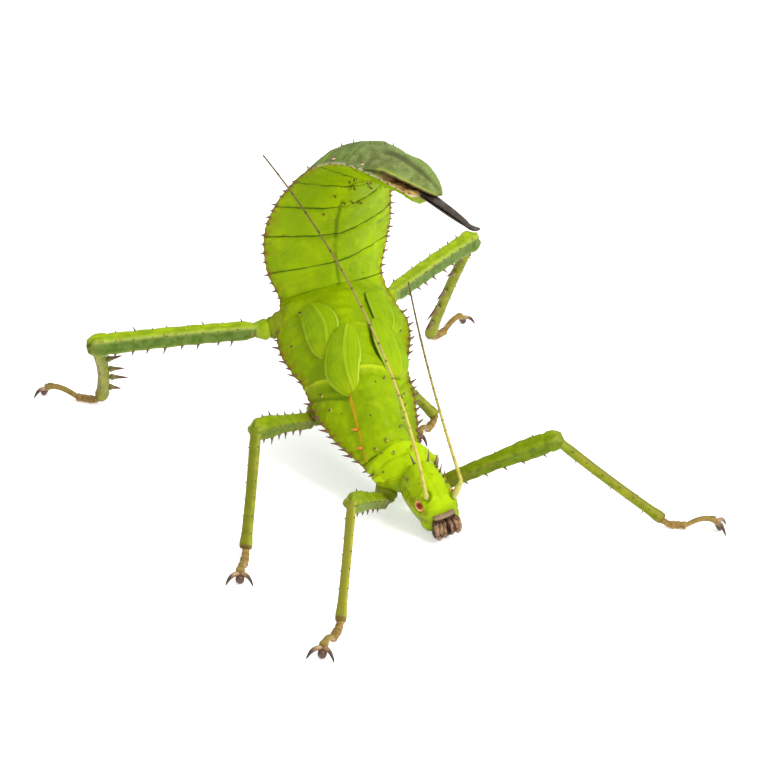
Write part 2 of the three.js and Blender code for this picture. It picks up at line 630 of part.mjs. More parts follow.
function addLeg(name, leg) {
  const { hip, knee, ankle, toe } = joints(leg);
  const side = SIDES[name.split("_")[0]];
  const pair = name.split("_")[1];
  const root = body(leg.at);
  const socket = spotIn(root, side * root.half * 0.5, -root.under * 0.4);

  // The hip joint: a short barrel that comes out under the side margin.
  const barrelHalf = (t) => leg.coxa * (t < 1 ? 1 : 0.6);
  const barrel = (extra) => limb(socket, hip, {
    spots: [0, 0.85, 1],
    width: barrelHalf,
    height: barrelHalf,
    extra: extra + 0.3,
  });
  add(`coxa_${name}`, largest(barrel(0).subtract(TRUNK_AROUND)), "skin");

  // The thigh swells towards the knee and ends there in a flare that takes the head of the shin.
  const thighTop = THIGH_UPS[name.split("_")[0]];
  const flare = (t) => 0.16 * max(0, 1 - abs(t - 0.95) / 0.1);
  const thighHalf = (t) => leg.thigh * (0.88 + 0.1 * t + flare(t)) * (t > 0 ? 1 : 0.6);
  const thigh = (extra) => limb(hip, knee, {
    spots: [0, 0.06, 0.5, 0.85, 0.95, 1],
    width: (t) => thighHalf(t) * 0.88,
    height: thighHalf,
    keel: 0.28,
    extra,
    up: thighTop,
  });
  const thighAxis = knee.clone().sub(hip).normalize();
  const thighSide = V(0, 0, 0).crossVectors(thighAxis, thighTop).normalize();
  const thighUp = V(0, 0, 0).crossVectors(thighSide, thighAxis);
  const count = THIGH_THORNS[pair];
  const long = pair === "hind" ? 1.3 : 1.6;
  const femur = join([
    thigh(0),
    ...limbThorns(hip, knee, thighUp, thighHalf, { count, length: long }),
    ...limbThorns(hip, knee, thighUp.clone().negate(), thighHalf, {
      count,
      from: 0.16,
      to: 0.94,
      length: long * 0.8,
    }),
  ]);
  add(`femur_${name}`, largest(femur.subtract(barrel(GAP)).subtract(TRUNK_AROUND)), "limb");

  const inward = hip.clone().sub(knee);
  const shinHalf = (t) => leg.shin * (t < 1 ? 1 : 0.75);
  const shinBow = pair === "hind" ? 0.8 : 0.2;
  const shin = (extra) => limb(knee, ankle, {
    spots: [0, 0.25, 0.5, 0.75, 0.95, 1],
    width: (t) => shinHalf(t) * 0.9,
    height: shinHalf,
    arch: shinBow,
    extra,
    up: inward,
    sides: 6,
  });
  const shinAxis = ankle.clone().sub(knee).normalize();
  const shinIn = inward.clone().addScaledVector(shinAxis, -inward.dot(shinAxis)).normalize();
  const thorns = pair === "hind"
    ? { count: 4, from: 0.2, to: 0.92, length: 3.2, thick: 0.65, lean: 0.3 }
    : { count: 4, from: 0.2, to: 0.9, length: 0.9, thick: 0.35 };
  const shinEdge = (t) => shinHalf(t) + shinBow * sin(PI * t);
  const tibia = join([shin(0), ...limbThorns(knee, ankle, shinIn, shinEdge, thorns)]);
  add(`tibia_${name}`, largest(tibia.subtract(thigh(GAP))), "limb");

  addFoot(name, ankle, toe, shin(GAP));
}

/** A block under the ground, which trims what would reach into it. */
const ground = (centre) => {
  const block = new THREE.BoxGeometry(60, 60, 10);
  block.translate(centre.x, centre.y, -5);
  return solid(block);
};

/** Foot: four short padded joints flat on the ground, a long last joint that arches up, and claws. */
function addFoot(name, ankle, toe, shinAround) {
  const way = toe.clone().sub(ankle);
  const length = way.length();
  way.normalize();
  const aside = V(0, 0, 0).crossVectors(way, UP).normalize();
  const centreHeight = (t) => {
    const arch = t < PADS_END ? 0 : sin((ARCH_SHARE * PI * (t - PADS_END)) / (1 - PADS_END));
    return 0.85 + FOOT_ARCH * arch;
  };
  const girth = (t) => {
    if (t < PADS_END) return 0.82 + 0.16 * cos((t / PADS_END) * 8 * PI);
    return 0.68 + 0.3 * max(0, (t - 0.8) / 0.2);
  };
  const foot = (extra) => rod(6, 10, (turn, t, reach) => {
    const run = mix(-0.6 - extra, length + extra, t);
    const radius = (girth(t) + extra) * reach;
    return ankle
      .clone()
      .addScaledVector(way, run)
      .setZ(centreHeight(t) + radius * sin(turn) * (sin(turn) < 0 ? 1.15 : 1))
      .addScaledVector(aside, radius * cos(turn) * 1.1);
  });
  add(`tarsus_${name}`, largest(foot(0).subtract(shinAround).subtract(ground(ankle))), "limb");

  const base = toe.clone().setZ(CLAW.lift).addScaledVector(way, -0.3);
  const clawHalf = (t) => mix(CLAW.root, CLAW.tip, t);
  const hooks = [1, -1].map((hand) => {
    const end = base
      .clone()
      .addScaledVector(way, CLAW.reach)
      .addScaledVector(aside, hand * CLAW.spread)
      .setZ(0.35);
    return limb(base, end, { spots: [0, 0.5, 1], width: clawHalf, height: clawHalf, arch: 0.55, sides: 4 });
  });
  add(`claws_${name}`, largest(join(hooks).subtract(foot(GAP)).subtract(ground(ankle))), "horn");
}

// ---------------------------------------------------------------- the whole animal
function addHead() {
  const eyes = Object.entries(SIDES).map(([side, hand]) => ({
    side,
    centre: inHead(EYE.at, hand * EYE.across, EYE.height),
  }));
  const sockets = [
    ...eyes.map(({ centre }) => ball(centre, EYE.radius + GAP, 8, 5)),
    ...Object.values(ANTENNAE).map(({ root }) => ball(inHead(...root), SCAPE + GAP, 7, 5)),
  ];
  const whole = join([skull(), ...crownThorns()]);
  add("head", largest(sockets.reduce((left, socket) => left.subtract(socket), whole)), "skin");
  for (const { side, centre } of eyes) add(`eye_${side}`, ball(centre, EYE.radius, 9, 6), "eye");
  for (const side of Object.keys(SIDES)) {
    add(`antenna_${side}`, largest(antenna(side).subtract(skull(GAP))), "whip");
  }
  add("mouth", mouth(), "mouth");
}

addThorax();
addAbdomen();
addHead();
for (const [name, leaf] of Object.entries(PADS)) add(name, pad(leaf), "skin");
for (const [name, leg] of Object.entries(LEGS)) addLeg(name, leg);

export default model;
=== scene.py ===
# %% [markdown]
# # A leaf-green stick insect, life size
# The animal stands with its head low and the tail end of its body curled up over its back.  The
# frame holds its solids, in metres.  Each cell below makes one piece or finish of it: first the
# measures, then the skin of body and legs, then what is set into the skin.

# %% Load the frame
import math
import bpy
import numpy as np
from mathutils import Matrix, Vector


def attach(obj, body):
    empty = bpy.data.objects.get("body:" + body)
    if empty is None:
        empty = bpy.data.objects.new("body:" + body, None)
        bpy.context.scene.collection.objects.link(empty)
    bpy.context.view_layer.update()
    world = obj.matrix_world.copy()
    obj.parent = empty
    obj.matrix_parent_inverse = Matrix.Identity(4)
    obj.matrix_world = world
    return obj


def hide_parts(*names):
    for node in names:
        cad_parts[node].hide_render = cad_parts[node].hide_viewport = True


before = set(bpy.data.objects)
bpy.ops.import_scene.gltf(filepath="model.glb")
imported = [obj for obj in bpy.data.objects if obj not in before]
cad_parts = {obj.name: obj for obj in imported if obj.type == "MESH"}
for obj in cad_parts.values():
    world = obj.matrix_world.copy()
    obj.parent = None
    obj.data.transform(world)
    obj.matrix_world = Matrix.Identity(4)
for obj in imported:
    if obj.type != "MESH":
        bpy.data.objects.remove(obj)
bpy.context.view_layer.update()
MM = 0.001

# %% [markdown]
# ## The camera
# A small animal looks its true size through a long lens from about half a metre, seen a little
# from above.  The camera is aimed by an angle and a distance, so that each can be changed alone.

# %% Camera
AIM = Vector((0.0041, -0.0089, 0.0205))
CAMERA_HEIGHT = math.radians(22.61)
CAMERA_DISTANCE = 0.4716
LENS, SENSOR = 124.3, 36
camera = bpy.data.objects.new("camera", bpy.data.cameras.new("camera"))
bpy.context.scene.collection.objects.link(camera)
away = Vector((0, -math.cos(CAMERA_HEIGHT), math.sin(CAMERA_HEIGHT)))
camera.location = AIM + away * CAMERA_DISTANCE
camera.rotation_euler = away.to_track_quat("Z", "Y").to_euler()
camera.data.lens = LENS
camera.data.sensor_width = SENSOR
camera.data.clip_start = 0.01
bpy.context.scene.camera = camera
bpy.context.scene.view_settings.view_transform = "Standard"
print("camera", [round(v, 4) for v in camera.location])

# %% [markdown]
# ## Light and floor
# A white sweep under large soft lights gives the faint shadows of a product shot: darkest where
# the head and the feet come near the ground.  Large lamps make soft edges, and the bright world
# fills the shade.  The paper glows a little as well, as on a light table.

# %% Light and floor
WORLD_STRENGTH = 0.62
PAPER_GLOW = 0.42
FLOOR_SIZE = 6


def lamp(name, place, size, power):
    """A round soft light at a place in metres, turned to the animal."""
    data = bpy.data.lights.new(name, "AREA")
    data.shape = "DISK"
    data.size = size
    data.energy = power
    made = bpy.data.objects.new(name, data)
    made.location = place
    made.rotation_euler = (Vector(place) - AIM).to_track_quat("Z", "Y").to_euler()
    bpy.context.scene.collection.objects.link(made)


lamp("key", (0.52, -0.45, 0.62), 0.45, 8.5)
lamp("front", (-0.15, -0.8, 0.60), 0.6, 1.0)
lamp("top", (0.0, 0.20, 0.95), 0.8, 1.4)
world = bpy.data.worlds.new("studio")
world.use_nodes = True
world.node_tree.nodes["Background"].inputs["Color"].default_value = (1, 1, 1, 1)
world.node_tree.nodes["Background"].inputs["Strength"].default_value = WORLD_STRENGTH
bpy.context.scene.world = world
bpy.ops.object.select_all(action="DESELECT")
bpy.ops.mesh.primitive_plane_add(size=FLOOR_SIZE, location=(0, 0, 0))
floor = bpy.context.object
floor.name = "floor"
white = bpy.data.materials.new("white paper")
white.use_nodes = True
paper = white.node_tree.nodes["Principled BSDF"]
for socket, value in (
    ("Base Color", (0.93, 0.93, 0.93, 1)), ("Roughness", 0.75), ("Specular IOR Level", 0.15),
    ("Emission Color", (1, 1, 1, 1)), ("Emission Strength", PAPER_GLOW),
):
    paper.inputs[socket].default_value = value
floor.data.materials.append(white)
print("lamps", len(bpy.data.lights))

# %% [markdown]
# ## Measures of the body
# All measures are in millimetres and are the ones that the solids were made from.  The body is a
# bent line with a cross-section at each place on it: thorax forward of the waist, abdomen behind.
# Three tables say how the line bends and how wide and deep the body is.

# %% Tables of the body
MIDDLE = np.array([-4.1, 8.9, 0.0])  # the point of the working frame that is the model's origin
WAIST = np.array([-9.6, 27.6, 27.8])
THORAX = [  # from the waist, heading, pitch, roll, half width, height of back, depth of belly
    (0, 20, 50, 3, 10.2, 5.2, 5.0),
    (4, 16, 37, 5, 10.9, 6.8, 4.9),
    (9, 13, 28, 8, 12.1, 7.4, 4.8),
    (14, 14, 27, 8, 11.6, 7.4, 4.6),
    (20, 16, 27, 8, 9.7, 7.2, 4.4),
    (26, 19, 27, 8, 9.2, 7.0, 4.2),
    (32, 22, 27, 7, 8.1, 6.2, 3.9),
    (37, 26, 22, 6, 6.6, 4.9, 3.8),
    (40, 29, 12, 6, 5.8, 4.2, 3.8),
    (44, 32, 0, 6, 6.0, 4.3, 4.2),
    (47, 30, 2, 7, 4.9, 3.8, 3.9),
    (49, 26, 14, 7, 3.6, 3.0, 3.2),
]
ABDOMEN = [  # length, curl, sway, and half width, height and depth at the rear end
    (6.5, 24, 3.6, 12.0, 5.4, 5.6),
    (6.3, 14.7, 8.4, 12.6, 4.9, 5.4),
    (5.8, 11.4, 1.8, 11.4, 4.0, 4.3),
    (5.8, 17.4, 0.6, 9.4, 3.4, 3.4),
    (5.5, 22.8, 4.7, 8.2, 2.9, 4.2),
    (5.5, 20.7, 7.9, 7.0, 2.8, 4.2),
    (6.0, 13.9, 5.7, 6.3, 2.4, 3.0),
    (7.2, 7.5, 2.4, 4.2, 1.8, 2.4),
    (12.8, 2.8, 5.6, 1.0, 0.6, 0.8),
]
WAIST_TURN = (13, -7.2, 6)  # curl, sway and roll of the abdomen against the thorax, in degrees
META_FRONT = 20.4  # front ends of the thorax's parts, forward of the waist
MESO_FRONT = 40.2
NECK = 48.2
SEGMENT_ENDS = [0.0]
for entry in ABDOMEN:
    SEGMENT_ENDS.append(SEGMENT_ENDS[-1] - entry[0])
TAIL_ROOT = SEGMENT_ENDS[6]
TAIL_END = SEGMENT_ENDS[8]
print("segments end at", [round(v, 1) for v in SEGMENT_ENDS])


# %% [markdown]
# ## The line of the body
# The line is walked in quarter-millimetre steps, and each step turns the body's own directions a
# little.  A light smoothing of the line rounds the sharp bend at the waist, as skin does.

# %% Walk the line
def turn_about(vectors, axis, degrees):
    """Rows of vectors turned about an axis by the right-hand rule."""
    a = math.radians(degrees)
    axis = axis / np.linalg.norm(axis)
    cross = np.cross(axis, vectors)
    along_axis = np.outer(vectors @ axis, axis)
    return vectors * math.cos(a) + cross * math.sin(a) + along_axis * (1 - math.cos(a))


def directions(heading, pitch, roll):
    """Forward, right and up of a piece of the body, as rows."""
    h, p, r = map(math.radians, (heading, pitch, roll))
    forward = np.array([math.sin(h) * math.cos(p), -math.cos(h) * math.cos(p), -math.sin(p)])
    level = np.array([-math.cos(h), -math.sin(h), 0.0])
    upright = np.cross(level, forward)
    right = level * math.cos(r) - upright * math.sin(r)
    up = upright * math.cos(r) + level * math.sin(r)
    return np.array([forward, right, up])


def smooth_table(places, values):
    """A function through the entries of a table that never breaks its slope."""
    places = np.array(places, float)
    values = np.array(values, float)
    slopes = np.gradient(values, places)
    slopes[1:-1] = (values[2:] - values[:-2]) / (places[2:] - places[:-2])

    def at(x):
        x = np.clip(x, places[0], places[-1])
        i = np.clip(np.searchsorted(places, x) - 1, 0, len(places) - 2)
        span = places[i + 1] - places[i]
        t = (x - places[i]) / span
        a = (2 * t**3 - 3 * t**2 + 1) * values[i] + (t**3 - 2 * t**2 + t) * slopes[i] * span
        return a + (3 * t**2 - 2 * t**3) * values[i + 1] + (t**3 - t**2) * slopes[i + 1] * span

    return at


def columns(table):
    """A function for each further column of a table, of the number in its first column."""
    table = np.array(table, float)
    return [smooth_table(table[:, 0], column) for column in table.T[1:]]


STEP = 0.25
BLUR = 0.8  # of the line, in mm
BLUR_STEPS = 8
heading, pitch, roll, *_ = columns(THORAX)
front = []
spot = WAIST.copy()
for at in np.arange(0, NECK + 1, STEP):
    way = directions(float(heading(at)), float(pitch(at)), float(roll(at)))
    front.append((at, spot.copy(), way))
    spot = spot + way[0] * STEP
way = front[0][2]
way = turn_about(way, -way[1], WAIST_TURN[0])
way = turn_about(way, way[2], -WAIST_TURN[1])
way = turn_about(way, -way[0], WAIST_TURN[2])
rear = []
spot = WAIST.copy()
at = 0.0
for length, curl, sway, *_ in ABDOMEN:
    steps = round(length / STEP)
    for _ in range(steps):
        way = turn_about(way, -way[1], curl / steps)
        way = turn_about(way, way[2], -sway / steps)
        spot = spot - way[0] * length / steps
        at -= length / steps
        rear.append((at, spot.copy(), way))
line = rear[::-1] + front
LINE_AT = np.array([entry[0] for entry in line])
LINE_POINT = np.array([entry[1] for entry in line])
LINE_WAY = np.array([entry[2] for entry in line])

window = np.exp(-0.5 * (np.arange(-BLUR_STEPS, BLUR_STEPS + 1) * STEP / BLUR) ** 2)
window /= window.sum()


def softened(rows):
    """Columns of numbers along the line, smoothed over about a millimetre."""
    flat = rows.reshape(len(rows), -1)
    before = 2 * flat[:1] - flat[BLUR_STEPS:0:-1]
    after = 2 * flat[-1:] - flat[-2:-BLUR_STEPS - 2:-1]
    padded = np.concatenate([before, flat, after])
    return np.stack([np.convolve(c, window, "valid") for c in padded.T], 1).reshape(rows.shape)


LINE_POINT = softened(LINE_POINT)
LINE_WAY = softened(LINE_WAY)
sizes = [(SEGMENT_ENDS[i + 1], *entry[3:]) for i, entry in enumerate(ABDOMEN)][::-1]
sizes += [(entry[0], *entry[4:]) for entry in THORAX]
half_at, top_at, under_at = columns(sizes)
print("line of", len(line), "steps")

# %% [markdown]
# ## Places on the body
# A place is named by its distance from the waist and by u, from -1 at the left margin over 0 on
# the ridge to 1 at the right margin.  The back is a rounded roof and the belly a shallow keel.

# %% Places
def body(at):
    """Points of the line and the three directions there, for an array of distances."""
    at = np.atleast_1d(np.asarray(at, float))
    point = np.stack([np.interp(at, LINE_AT, LINE_POINT[:, k]) for k in range(3)], 1)
    ways = []
    for row in range(3):
        way = np.stack([np.interp(at, LINE_AT, LINE_WAY[:, row, k]) for k in range(3)], 1)
        ways.append(way / np.linalg.norm(way, axis=1, keepdims=True))
    return point, ways


def in_body(at, across, height):
    """World places of points given by distance from the waist, place across and height."""
    point, (_, right, up) = body(at)
    return point + right * np.reshape(across, (-1, 1)) + up * np.reshape(height, (-1, 1))


def back_height(at, u):
    return top_at(at) * (1 - np.abs(u) ** 1.55)


def on_back(at, u):
    """A spot on the back and the direction that stands out of it."""
    here = in_body(at, half_at(at) * u, back_height(at, u))[0]
    beside = in_body(at, half_at(at) * (u + 0.01), back_height(at, u + 0.01))[0]
    ahead = in_body(at + 0.3, half_at(at + 0.3) * u, back_height(at + 0.3, u))[0]
    out = np.cross(beside - here, ahead - here)
    up = body(at)[1][2][0]
    out = out if out @ up > 0 else -out
    return here, out / np.linalg.norm(out)


def gauss(x, centre, width):
    return np.exp(-(((x - centre) / width) ** 2))


def ease(x, low, high):
    """0 below low, 1 above high, and a smooth rise between."""
    t = np.clip((np.asarray(x, float) - low) / (high - low), 0, 1)
    return t * t * (3 - 2 * t)


def most(*values):
    """The largest of several arrays, place by place."""
    return np.max(np.broadcast_arrays(*values), axis=0)


def noise(points, size, seed):
    """Smooth, repeatable noise from -1 to 1 made of a few waves in mixed directions."""
    rng = np.random.default_rng(seed)
    total = np.zeros(len(points))
    for _ in range(9):
        direction = rng.normal(size=3)
        direction *= rng.uniform(0.7, 1.6) / np.linalg.norm(direction) / size
        total += np.sin(2 * math.pi * (points @ direction) + rng.uniform(0, 6.28))
    return total / 3


MIDDLE_LINE = [  # distance from the waist, place of the ridge across the back
    (-50, 0.12), (-26, 0.10), (-12, 0.05), (3, 0.0), (14, -0.06), (20, -0.14), (27, -0.22),
    (31, -0.10), (37, 0.14), (42, 0.24), (49, 0.15),
]
JOINT_SLANT = np.array([  # distance from the waist, how far a joint runs back per unit of u, its u
    (-50, 0.0, 0.9), (-41, 2.0, 0.9), (-33, 3.6, 0.86), (-27, 4.2, 0.74), (-20, 3.0, 0.57),
    (-14, 2.8, 0.43), (-7, 1.6, 0.44), (0, 0.8, 0.2), (10, 0.0, 0.5), (34, 0.0, 0.85),
    (41, -2.3, 0.85), (49, -1.0, 0.85),
])
(middle_at,) = columns(MIDDLE_LINE)


def from_middle(at, u):
    """Place across the back from the ridge, -1 to 1, where the twist of the body moves the ridge."""
    m = middle_at(at)
    return np.where(u > m, (u - m) / (1 - m), (u - m) / (1 + m))


def slanted(at, u):
    """Distance from the waist as the joints count it, since they cross the back at a slant."""
    slope = np.interp(at, JOINT_SLANT[:, 0], JOINT_SLANT[:, 1])
    even = np.interp(at, JOINT_SLANT[:, 0], JOINT_SLANT[:, 2])
    return at + slope * (even - u)


print("ridge at the waist", np.round(on_back(0.0, 0.0)[0] - MIDDLE, 1))

# %% [markdown]
# ## Rolling a sheet into a tube
# Nearly every part of an insect is a closed tube of hard skin.  A grid is added, rolled into a tube
# by a rule for its points, and its edges are merged, so the seam and both ends close.  A grid has
# even, square faces, which take fine detail better than a stretched cylinder.

# %% Tube helper
MERGE = 0.000004


def finished(made, name):
    made.name = name
    made.data.name = name
    return made


def set_attribute(mesh, name, values):
    layer = mesh.attributes.get(name) or mesh.attributes.new(name, "FLOAT", "POINT")
    layer.data.foreach_set("value", np.asarray(values, dtype=np.float32))


def tube(name, around, along, place):
    """A closed tube.  place takes arrays (turn in radians, t from 0 to 1) and gives points in
    working millimetres and a dict of named values for the points."""
    bpy.ops.object.select_all(action="DESELECT")
    bpy.ops.mesh.primitive_grid_add(x_subdivisions=around, y_subdivisions=along, size=2)
    made = finished(bpy.context.object, name)
    mesh = made.data
    flat = np.empty(len(mesh.vertices) * 3)
    mesh.vertices.foreach_get("co", flat)
    flat = flat.reshape(-1, 3)
    turn = flat[:, 0] * math.pi - math.pi / 2
    points, values = place(turn, np.clip((flat[:, 1] + 1) / 2, 0, 1))
    mesh.vertices.foreach_set("co", ((points - MIDDLE) * MM).ravel())
    for key, value in values.items():
        set_attribute(mesh, key, np.broadcast_to(value, (len(flat),)))
    bpy.ops.object.mode_set(mode="EDIT")
    bpy.ops.mesh.select_all(action="SELECT")
    bpy.ops.mesh.remove_doubles(threshold=MERGE)
    bpy.ops.mesh.normals_make_consistent(inside=False)
    bpy.ops.object.mode_set(mode="OBJECT")
    bpy.ops.object.shade_smooth()
    return made


def joined(pieces, name):
    """One object from several."""
    bpy.ops.object.select_all(action="DESELECT")
    for piece in pieces:
        piece.select_set(True)
    bpy.context.view_layer.objects.active = pieces[0]
    bpy.ops.object.join()
    return finished(bpy.context.object, name)


def end_close(t, first=0.02, last=0.02):
    """1 along a tube and falling to 0 in a round cap at each end."""
    rise = np.sqrt(np.clip(1 - (1 - np.clip(t / first, 0, 1)) ** 2, 0, 1))
    fall = np.sqrt(np.clip(1 - (1 - np.clip((1 - t) / last, 0, 1)) ** 2, 0, 1))
    return np.minimum(rise, fall)


def triangles(*pieces):
    return sum(len(face.vertices) - 2 for piece in pieces for face in piece.data.polygons)


print("merging points nearer than", MERGE / MM, "mm")

# %% [markdown]
# ## The trunk
# Thorax and abdomen are one tube.  Its rule starts from the plain section and adds what a hand
# would carve: the lip of each segment over the next, the raised middle plate of the thorax with a
# ridge along each side, the crease at the neck, and a sharp edge along both margins.

# %% Trunk
MARGIN_TOOTH = 0.32
TRUNK_FRONT = NECK + 0.4
TAIL_FUSED = 5.6  # behind its root, the tail stays closed for this far before its plates part


def seam_count(at):
    """A number that is whole on each joint between segments and grows evenly between them."""
    places = [*SEGMENT_ENDS[::-1], 3.0, MESO_FRONT - 3, MESO_FRONT, MESO_FRONT + 3]
    counts = [*range(len(SEGMENT_ENDS) - 1, -1, -1), -0.5, -0.5, -1.0, -1.5]
    return np.interp(at, places, counts)


def ridge_place(at):
    """Where the ridge along each side of the mesothorax lies, as a share of the half width."""
    return np.interp(at, [28, 33, 36, 38.5, 41], [0.48, 0.51, 0.57, 0.71, 0.90])


def lip(at):
    """Height of the skin over its plain section due to overlapping segments, in the abdomen."""
    total = np.zeros_like(at)
    for front_end, rear_end in zip(SEGMENT_ENDS[:8], SEGMENT_ENDS[1:9]):
        t = (front_end - at) / (front_end - rear_end)
        inside = (t > 0) & (t <= 1)
        rise = 0.3 * np.clip(t, 0, 1) ** 1.5 * (1 - ease(t, 0.88, 1.0))
        dip = 0.16 * (gauss(t, 0.0, 0.07) + gauss(t, 1.0, 0.06))
        total = np.where(inside, rise - dip, total)
    return total


def trunk_rule(turn, t):
    at = TAIL_END + (TRUNK_FRONT - TAIL_END) * t
    close = end_close(t, 0.008, 0.02)
    c, s = np.cos(turn), np.sin(turn)
    u = c * close
    back = s >= 0
    tail = ease(TAIL_ROOT - at, TAIL_FUSED, TAIL_FUSED + 3.0)
    under = under_at(at) * (1 - tail) + 0.4 * tail
    height = np.where(
        back,
        back_height(at, u) * close,
        -under * np.clip(1 - np.abs(c) ** 2.2, 0, 1) ** 0.8 * close,
    )
    abdomen = ease(-at, -0.5, 0.5)
    upper = np.where(back, np.clip(s, 0, 1) ** 0.4, 0)
    lower = np.where(back, 0, np.clip(-s, 0, 1) ** 0.4)
    depth = (upper + lower * 0.8) * close
    v = from_middle(at, u)
    joint_at = np.where(back, slanted(at, u), at)
    # Lips of the segments, and the median line of the abdomen as a shallow furrow.
    grow = lip(joint_at) * depth
    grow -= 0.16 * gauss(v, 0, 0.035) * upper * abdomen
    grow += 0.14 * gauss(np.abs(v), 0.66, 0.03) * upper * ease(-at, -2, 3)
    # The middle plate of the mesothorax stands above its sides, with a ridge along each edge.
    meso = ease(at, META_FRONT - 1, META_FRONT + 1.5) * ease(MESO_FRONT - at, -0.5, 1.5)
    from_ridge = np.abs(v) - ridge_place(at)
    plate = ease(-from_ridge, -0.06, 0.10)
    ahead = ease(at, 27, 29)
    grow += upper * meso * (0.55 * plate + 0.30 * ahead * gauss(from_ridge, 0, 0.035))
    grow -= upper * meso * 0.42 * gauss(from_ridge, 0.15, 0.07) * ahead
    # Two folds behind the mesothorax run forward from the margins to the roots of the wing pads.
    beside = ease(np.abs(v), 0.42, 0.56)
    ridge_line = at - 20.8 - 6.9 * (1 - np.abs(v))
    crease_line = at - 23.6 - 10.1 * (1 - np.abs(v))
    grow += upper * beside * (0.45 * gauss(ridge_line, 0, 0.55) - 0.40 * gauss(crease_line, 0, 0.5))
    grow -= upper * beside * 0.3 * gauss(ridge_line, 1.4, 0.7)
    # The square plate between the wing pads, with a raised front border.
    square = ease(0.30 - np.abs(v), -0.03, 0.03) * ease(at, 13.2, 14.2) * ease(24.6 - at, -0.2, 0.3)
    grow += upper * 0.45 * square
    border = ease(0.34 - np.abs(v), -0.04, 0.04) * gauss(at, 24.5, 0.3)
    grow += 0.30 * border * upper
    grow -= 0.35 * upper * gauss(at, 25.6, 0.5) * ease(0.42 - np.abs(v), -0.1, 0.1)
    # Folds at the front of the mesothorax, across the neck plate and at the neck.
    for place, width, deep in ((MESO_FRONT, 0.4, 0.6), (44.3, 0.6, 0.28)):
        grow -= deep * gauss(joint_at, place, width) * (upper + lower * 0.7)
    grow += 0.35 * gauss(joint_at, MESO_FRONT + 1.6, 0.9) * upper
    grow += 0.3 * gauss(joint_at, 42.5, 1.2) * upper - 0.4 * gauss(at, META_FRONT, 0.4) * lower
    # The neck plate has a saddle between two front lobes.
    lobes = gauss(at, 45.6, 1.4) * gauss(np.abs(v), 0.58, 0.24)
    grow += upper * (0.85 * lobes - 0.35 * gauss(at, 46.2, 1.4) * gauss(v, 0, 0.18))
    grow += 0.9 * gauss(at, 45.2, 1.6) * gauss(s, -0.15, 0.35)
    grow -= 0.5 * gauss(at, 43.2, 0.5) * gauss(s, 0.1, 0.4)
    # Swellings over the hips, and the corner lobes of the metathorax by the waist.
    for place, across, size, rise in (
        (2.6, 0.78, 1.5, 0.9), (9.0, 0.86, 3.0, 0.5), (22.4, 0.84, 1.3, 0.7), (43.6, 0.8, 1.5, 0.6),
    ):
        grow += rise * gauss(at, place, size) * gauss(np.abs(v), across, 0.14) * upper
    grow -= 0.35 * gauss(at, 5.2, 1.0) * gauss(np.abs(v), 0.66, 0.16) * upper
    points = in_body(at, half_at(at) * c * close, height)
    _, (_, right, up) = body(at)
    out = right * (c * 0.35)[:, None] + up * s[:, None]
    out /= np.linalg.norm(out, axis=1, keepdims=True) + 1e-9
    grow += (0.10 * noise(points, 2.6, 3) + 0.05 * noise(points, 0.9, 4)) * depth
    points = points + out * grow[:, None]
    # A sharp, finely toothed edge along both margins.
    edge = gauss(s, 0, 0.10) * close
    tooth = np.abs(((at * 0.78) % 1) - 0.5) * 2
    reach = MARGIN_TOOTH * (0.35 + 0.65 * tooth) * edge
    points = points + right * (np.sign(c) * reach)[:, None]
    rear_border = ease(0.34 - np.abs(v), -0.04, 0.04) * gauss(at, 13.7, 0.25)
    yellow = most(beside * gauss(ridge_line, 0, 0.35), 0.65 * border, 0.6 * rear_border)
    # Painted shade: darker in the crease behind each side fold, in a groove left of the mesothorax's middle
    # plate, and along both sides of the square plate.
    left_groove_shade = gauss(from_ridge, 0.09, 0.05) * (v < 0) * ease(at, 25, 27) * ease(40 - at, 0, 2)
    plate_side_shade = gauss(np.abs(v), 0.345, 0.03) * ease(at, 14, 16) * ease(24 - at, 0, 1)
    shade = most(beside * gauss(crease_line, 0, 0.35), 0.9 * left_groove_shade, 0.8 * plate_side_shade)
    green_below = ease(at, 40.5, 42.0) * (0.45 + 0.55 * ease(s, -0.9, -0.2))
    return points, {
        "seam": seam_count(joint_at),
        "yellow": yellow * upper,
        "flank": v - ridge_place(at),
        "shade": shade * upper,
        "at": at,
        "across": v,
        "back": most(ease(s, -0.06, 0.05), green_below),
        "margin": gauss(s, 0.0, 0.16) * (1 - ease(at, 41.0, 43.5)),
    }


trunk = tube("trunk", 100, 344, trunk_rule)
print("trunk", triangles(trunk), "triangles")


# %% [markdown]
# ## The head
# A walking stick's head is a long rounded box: a domed crown, flat cheeks, the eyes near its front
# and the feelers set between them.  It has its own three directions, because the neck turns it.
# Rims round the eyes and the feelers are part of the head's skin, so they are raised there.

# %% Head
HEAD_WAYS = directions(26, 18, 14)
HEAD = [  # from the neck, half width, crown, chin
    (0.0, 3.3, 3.0, 4.0), (1.4, 4.0, 4.3, 5.3), (4.5, 4.0, 4.4, 6.1), (7.5, 3.5, 3.8, 6.1),
    (9.6, 3.2, 3.0, 5.6), (10.4, 2.9, 2.3, 5.1),
]
HEAD_LENGTH = 10.4
EYE = {"at": 7.4, "across": 2.5, "height": 0.75, "radius": 1.25}
FEELER_ROOTS = {"right": (8.0, 1.8, 2.9), "left": (9.0, -2.6, 2.3)}
NAPE_SINK = np.array([-0.4, -0.6, -1.3])
SIDES = {"right": 1, "left": -1}
head_half, head_top, head_under = columns(HEAD)
NAPE = in_body(NECK, -0.9, 1.5)[0] + HEAD_WAYS[0] * 0.15 + NAPE_SINK


def in_head(at, across, height):
    """World places from distance forward of the neck, place across and height."""
    at, across, height = (np.reshape(np.asarray(v, float), (-1, 1)) for v in (at, across, height))
    return NAPE + at * HEAD_WAYS[0] + across * HEAD_WAYS[1] + height * HEAD_WAYS[2]


